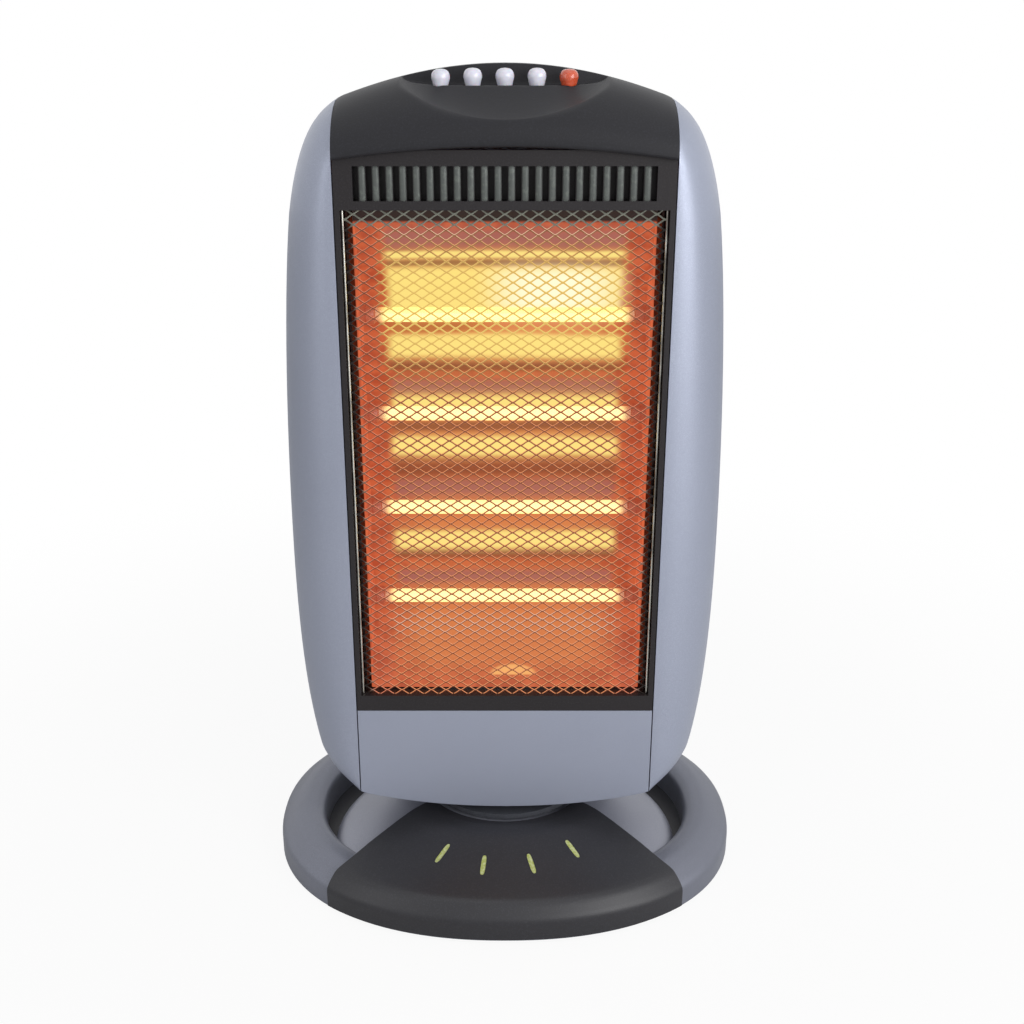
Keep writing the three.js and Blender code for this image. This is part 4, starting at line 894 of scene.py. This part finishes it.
for row in range(rows + 1):
    mirror = 1 if row % 2 else -1
    z = low_z + (high_z - low_z) * row / rows + mirror * wave * MESH_Z / 4
    y = GUARD_Y + mirror * WEAVE * triangle
    start = len(points)
    for a, b in section:
        points += list(zip(xs, y + a, z + b))
    for s in range(4):
        here, beyond = start + s * n, start + (s + 1) % 4 * n
        faces += [(here + i, here + i + 1, beyond + i + 1, beyond + i) for i in range(n - 1)]
wires = piece("guard_wires", points, faces, guard, HEAD)
wires.data.shade_flat()
rim_chrome = rolled_metal("rim_chrome", light(206, 204, 196), light(120, 116, 110), 0.3, (60, 60, 300))
for side, word in ((-1, "left"), (1, "right")):
    rim = rod(0.9, (side * 103.1, GUARD_Y, WINDOW[0] + 0.3), (side * 103.1, GUARD_Y, WINDOW[1] - 0.3), 16)
    soften(rim, 0.3, 2, 60, rim_chrome, HEAD, f"guard_rim_{word}")
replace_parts(wires, "mesh_guard")
print("guard rows:", rows)

# %% [markdown]
# ## Keys
# Four white keys and an orange one stand in the hollow. Each is a short round post with a domed top,
# widest a little above its middle, so that it catches the light as a pearl does.
# %% Keys
KEY_RISES = [9.9, 10.5, 10.5, 10.5, 9.9]
KEY_STEM = [(0.01, -17), (3, -17), (3, -5), (4.5, -5), (4.8, 0)]  # radius, height over the shelf
KEY_CROWN = [(5.5, 7.4), (5.95, 5.8), (6, 4.8), (5.75, 3.3), (5.1, 1.9), (4.1, 0.95),
             (2.6, 0.3), (0.01, 0)]  # radius, depth under the top
turn = np.linspace(0, 2 * math.pi, 40, False)
for number, (x, rise) in enumerate(zip(KEYS, KEY_RISES), 1):
    top = SHELF + rise
    profile = [(r, SHELF + up) for r, up in KEY_STEM] + [(r, top - down) for r, down in KEY_CROWN]
    loops = [np.stack([x + r * np.cos(turn), KEY_Y + r * np.sin(turn), np.full(len(turn), z)], 1)
             for r, z in profile]
    key = loft(f"key_{number}", loops, key_orange if number == 5 else key_white, f"button_{number}")
    key.data.shade_smooth()
    key.data.set_sharp_from_angle(angle=SHARP)
    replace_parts(key, f"button_{number}")
print("keys at", KEYS)

# %% [markdown]
# ## Base
# The base is an oval ring with a low cone in its middle, and a dark gap between them at the sides.
# An oval between an ellipse and a rectangle is drawn by raising sine and cosine to a power. Ring,
# cone and front cover are stacks of such ovals.
# %% Ovals of the base
BASE_X, BASE_Y, BASE_CENTRE = 178, 142, 1.1
HUB_TOP, TURNTABLE = 48, 66
OVAL_POINTS, SQUARENESS = 144, 2.2
REACH = 60  # about how far the base's slopes run from their foot to the turntable


def oval(half_x, half_y, z, centre=BASE_CENTRE):
    turn = np.linspace(0, 2 * math.pi, OVAL_POINTS, False)
    def squared(v): return np.sign(v) * np.abs(v) ** (2 / SQUARENESS)
    x, y = half_x * squared(np.cos(turn)), centre + half_y * squared(np.sin(turn))
    return np.stack([x, y, np.full(OVAL_POINTS, z)], 1)


def rim_oval(inward, z):
    return oval(BASE_X - inward, BASE_Y - inward, z)


def cone_oval(share, z, grown=0, foot=(132, 101, -40)):
    """An oval on the way from the foot, given by its half sizes and centre, in to the turntable."""
    half_x, half_y, centre = foot
    return oval(between(half_x, TURNTABLE, share) + grown, between(half_y, TURNTABLE, share) + grown, z,
                between(centre, 0, share))


def deck_oval(share, z, grown=0):
    return cone_oval(share, z + grown, grown, (BASE_X, BASE_Y, BASE_CENTRE))


def smooth_steps(steps, count, passes=3):
    """More steps along a rounded line through the ones given, which are (share, height) pairs."""
    steps = np.array(steps, float)
    run = np.concatenate([[0], np.cumsum(np.hypot(np.diff(steps[:, 0]) * REACH, np.diff(steps[:, 1])))])
    fine = np.linspace(0, run[-1], count)
    share, z = np.interp(fine, run, steps[:, 0]), np.interp(fine, run, steps[:, 1])
    for _ in range(passes):
        share[1:-1] = (share[:-2] + 2 * share[1:-1] + share[2:]) / 4
        z[1:-1] = (z[:-2] + 2 * z[1:-1] + z[2:]) / 4
    return list(zip(share, z))


print("oval points:", len(rim_oval(0, 0)))


# %% [markdown]
# Seen from above, the front cover is a fan that widens from the turntable to the rim. One outline
# cuts out the cover and, a little wider, clears the bed for it, so an even gap is left between them.
# %% Plan of the front cover
FAN = [(64, -43), (82, -58), (102, -76), (113, -87.5), (122, -96.5), (128, -102.5), (130.5, -105.5),
       (131, -172)]


def fan_tool(grown, inner):
    """The fan as a tall solid, wider at each side by grown, less a disc of the inner radius."""
    low, high = -1, 90
    right = [(x + grown, y) for x, y in FAN]
    plan = [(0, 0)] + right + [(-x, y) for x, y in right[::-1]]
    tool = loft("fan", [[(x, y, z) for x, y in plan] for z in (low, high)])
    return carve(tool, rod(inner, (0, 0, low - 1), (0, 0, high + 1), 72))


print("fan corners:", 2 * len(FAN) + 1)

# %% [markdown]
# Ring, cone and deck are each a line of heights from the outer edge in, turned into a stack of ovals.
# The lines are rounded first, so that the moulding rolls over where one slope meets the next.
# %% Ring and cone
RING_STEPS = [(0, 2), (0, 17), (1.5, 20), (11, 27.5), (19, 31), (26, 31)]  # inward, height
RING_HOLE = [(35, -1), (35, 22), (34.4, 25.5), (32.8, 28), (30.4, 30), (26.4, 31.4), (24, 33)]
CONE_STEPS = [(0, 8), (0, 18), (0.05, 24), (0.13, 28), (0.4, 34.5), (0.8, 45), (1, HUB_TOP)]
DECK_STEPS = [(0, 2), (0, 17), (0.012, 19), (0.1, 28.5), (0.375, 34.5), (0.845, 46.5), (1, HUB_TOP)]
BED_GAP = 0.4
ring_lines = smooth_steps([(inward / REACH, z) for inward, z in RING_STEPS], 30)
ring = loft("ring", [rim_oval(share * REACH, z) for share, z in ring_lines] + [rim_oval(35, 30)])
ring = carve(ring, loft("hole", [rim_oval(inward, z) for inward, z in RING_HOLE]))
cone = loft("cone", [cone_oval(share, z) for share, z in smooth_steps(CONE_STEPS, 34)])
cone = carve(cone, rod(22, (0, 0, -1), (0, 0, 90), 48))
deck_lines = smooth_steps(DECK_STEPS, 40, 1)


def deck_form(grown=0, lift=0):
    """The deck as a solid, larger all round by grown and raised by lift."""
    return loft("deck", [deck_oval(share, z + lift, grown) for share, z in deck_lines])


base = carve(ring, carve(deck_form(-1), fan_tool(-1, 24), "INTERSECT"), "UNION")
base = carve(base, carve(fan_tool(BED_GAP, 1), deck_form()))
soften(base, 0.5, 2, 50, base_silver, BASE, "silver_base")
cone = carve(cone, carve(fan_tool(BED_GAP, 1), deck_form()))
soften(cone, 0.5, 2, 50, lit_hub_silver, BASE, "silver_hub")
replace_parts(base, "base_shell")

# %% [markdown]
# The front cover is a black fan that lies on the base, from the turntable out to the front edge. A
# crease runs across it where the deck turns down to the rim. Four marks are sunk into it, filled
# with pale paint.
# %% Front cover and its marks
COVER_RISE, PAINT_RISE, GROOVE_RISE = 2.2, 2.0, 1.5  # above the deck
cover = carve(deck_form(COVER_RISE), deck_form(0.3, -1))
cover = carve(cover, fan_tool(0, TURNTABLE), "INTERSECT")
MARKS = [((-50.5, -101), (-41, -86)), ((-16.6, -113), (-14.6, -97)), ((21.7, -111.6), (16.9, -95.5)),
         ((54.3, -96.4), (45.3, -82.2))]  # both ends of each, from above
MARK_HALF = 1.9


def mark_tool(mark, grown):
    (x0, y0), (x1, y1) = mark
    length = math.hypot(x1 - x0, y1 - y0)
    ux, uy = (x1 - x0) / length, (y1 - y0) / length
    plan = []
    for turn in np.linspace(0, 2 * math.pi, 28, False):
        a = (length / 2 + grown) * math.copysign(abs(math.cos(turn)) ** 0.55, math.cos(turn))
        b = (MARK_HALF + grown) * math.copysign(abs(math.sin(turn)) ** 0.7, math.sin(turn))
        plan.append(((x0 + x1) / 2 + a * ux - b * uy, (y0 + y1) / 2 + a * uy + b * ux))
    return loft("mark", [[(x, y, z) for x, y in plan] for z in (0, 90)])


for mark in MARKS:
    cover = carve(cover, carve(mark_tool(mark, 0), deck_form(GROOVE_RISE)))
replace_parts(soften(cover, 0.4, 2, 50, base_black, BASE, "black_front_cover"), "base_front_cover")
paint = Finish("mark_paint", Roughness=0.45)
paint_cloud = paint.noise(500, 3.0)
paint.feed("Base Color", paint.blend(paint_cloud.above(0.5, 0.2), light(206, 212, 158), light(176, 186, 92)))
paint.bump(paint_cloud, 0.0001)
for number, mark in enumerate(MARKS, 1):
    fill = carve(mark_tool(mark, -0.15), deck_form(PAINT_RISE), "INTERSECT")
    fill = carve(fill, deck_form(1.4))
    soften(fill, 0.15, 1, 50, paint, BASE, f"painted_mark_{number}")

# %% [markdown]
# ## What stays as the frame made it
# Screws, motor, gears, switch, plate and feet are turned or flat pieces whose frame shape is right.
# They keep it and get a finish of their own. All but the screws also have their edges rounded.
# %% Frame nodes that stay
acetal = Finish("natural_acetal")
acetal_cloud = acetal.noise(120, 2.0)
acetal.feed("Base Color", acetal.blend(acetal_cloud, light(228, 226, 214), light(206, 202, 186)))
acetal.feed("Roughness", acetal_cloud * 0.15 + 0.3)
acetal.bump(acetal.noise(600), 0.00004)
# The tube carriers are steel coloured dark brown.
dark_brown = rolled_metal("dark_brown_steel", light(62, 44, 40), light(38, 28, 28), 0.55)
screws = [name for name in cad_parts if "screw" in name]
feet = [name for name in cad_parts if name.startswith("foot")]
KEPT = [
    (base_black, feet + ["base_plate", "tip_switch", "switch_block"]),
    (steel, ["swing_motor", "neck_retaining_ring", "thermal_cutout"]),
    (dark_brown, ["tube_carrier_left", "tube_carrier_right"]),
    (acetal, ["sector_gear", "drive_pinion", "tip_plunger", "bearing_ring", "terminal_block"]),
    (gland_rubber, ["cord_gland"]),
    # The neck's darker grey is painted shade from the head above it.
    (shaded_neck_grey, ["head_neck"]),
]
screw_steel.on(*screws)
for finish, names in KEPT:
    finish.on(*names)
    for name in names:
        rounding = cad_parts[name].modifiers.new("rounded", "BEVEL")
        rounding.width, rounding.segments, rounding.limit_method = 0.3 * MM, 2, "ANGLE"
        rounding.angle_limit = SHARP
print("nodes kept:", len(screws) + sum(len(names) for _, names in KEPT))

# %% [markdown]
# ## Studio
# The floor shows no horizon: further from the heater, more of it shines by itself. The floor
# is pale and a little of it shines by itself for the camera, so that it reads as white and still
# holds the heater's shadow. Four soft lights stand round it: two strips at the sides, which draw the
# long highlights down the silver panels, a wide light above, and one in front to the right, which
# lifts the lower panel and the base.
# %% Floor, world and lights
world = bpy.data.worlds.new("studio")
bpy.context.scene.world = world
world.use_nodes = True
sky, out = world.node_tree.nodes["Background"], world.node_tree.nodes["World Output"]
sky.inputs["Color"].default_value = (1, 1, 1, 1)
sky.inputs["Strength"].default_value = 0.36
white = world.node_tree.nodes.new("ShaderNodeBackground")
white.inputs["Color"].default_value = (1, 1, 1, 1)
white.inputs["Strength"].default_value = 1.0
seen = world.node_tree.nodes.new("ShaderNodeLightPath")
join = world.node_tree.nodes.new("ShaderNodeMixShader")
shown = None
for kind in ("Is Camera Ray", "Is Glossy Ray", "Is Transmission Ray"):
    more = world.node_tree.nodes.new("ShaderNodeMath")
    more.operation = "MAXIMUM"
    world.node_tree.links.new(seen.outputs[kind], more.inputs[0])
    if shown:
        world.node_tree.links.new(shown, more.inputs[1])
    else:
        more.inputs[1].default_value = 0
    shown = more.outputs[0]
world.node_tree.links.new(shown, join.inputs[0])
world.node_tree.links.new(sky.outputs[0], join.inputs[1])
world.node_tree.links.new(white.outputs[0], join.inputs[2])
world.node_tree.links.new(join.outputs[0], out.inputs[0])

floor_finish = Finish("pale_floor", Roughness=0.9, Specular_IOR_Level=0.1)
floor_tone = floor_finish.blend(floor_finish.noise(3), light(246, 246, 246), light(240, 240, 240))
floor_finish.feed("Base Color", floor_tone)
away = (floor_finish.place(0) ** 2 + floor_finish.place(1) ** 2) ** 0.5
own_light = floor_finish.node("ShaderNodeLightPath") * (away.above(0.6, 0.35) * 0.08 + 0.92)
surface = floor_finish.node("ShaderNodeMixShader", None, {
    0: own_light, 1: Value(floor_finish, floor_finish.shader.outputs[0]),
    2: floor_finish.node("ShaderNodeEmission")})
output = floor_finish.tree.nodes["Material Output"]
floor_finish.tree.links.new(surface.socket, output.inputs["Surface"])
WIDE = 6000
corners = [(-WIDE, -WIDE, 0), (WIDE, -WIDE, 0), (WIDE, WIDE, 0), (-WIDE, WIDE, 0)]
floor = piece("floor", corners, [(0, 1, 2, 3)], floor_finish)


def soft_light(name, place, aim, size, watts):
    data = bpy.data.lights.new(name, "AREA")
    data.shape, data.size, data.size_y, data.energy = "RECTANGLE", size[0], size[1], watts
    lamp = bpy.data.objects.new(name, data)
    lamp.location = place
    direction = np.array(aim) - np.array(place)
    lamp.rotation_euler = (math.atan2(math.hypot(direction[0], direction[1]), -direction[2]), 0,
                           math.atan2(direction[1], direction[0]) + math.pi / 2 + math.pi)
    bpy.context.scene.collection.objects.link(lamp)


soft_light("left_strip", (-1.5, -1.2, 0.9), (0, 0, 0.3), (0.7, 1.6), 4)
soft_light("right_strip", (1.5, -1.2, 0.9), (0, 0, 0.3), (0.7, 1.6), 14)
soft_light("overhead", (0, -0.3, 2.2), (0, 0, 0.3), (1.8, 1.8), 5)
soft_light("front_right", (1.2, -2.0, 0.8), (0, 0, 0.3), (1.0, 1.0), 15)
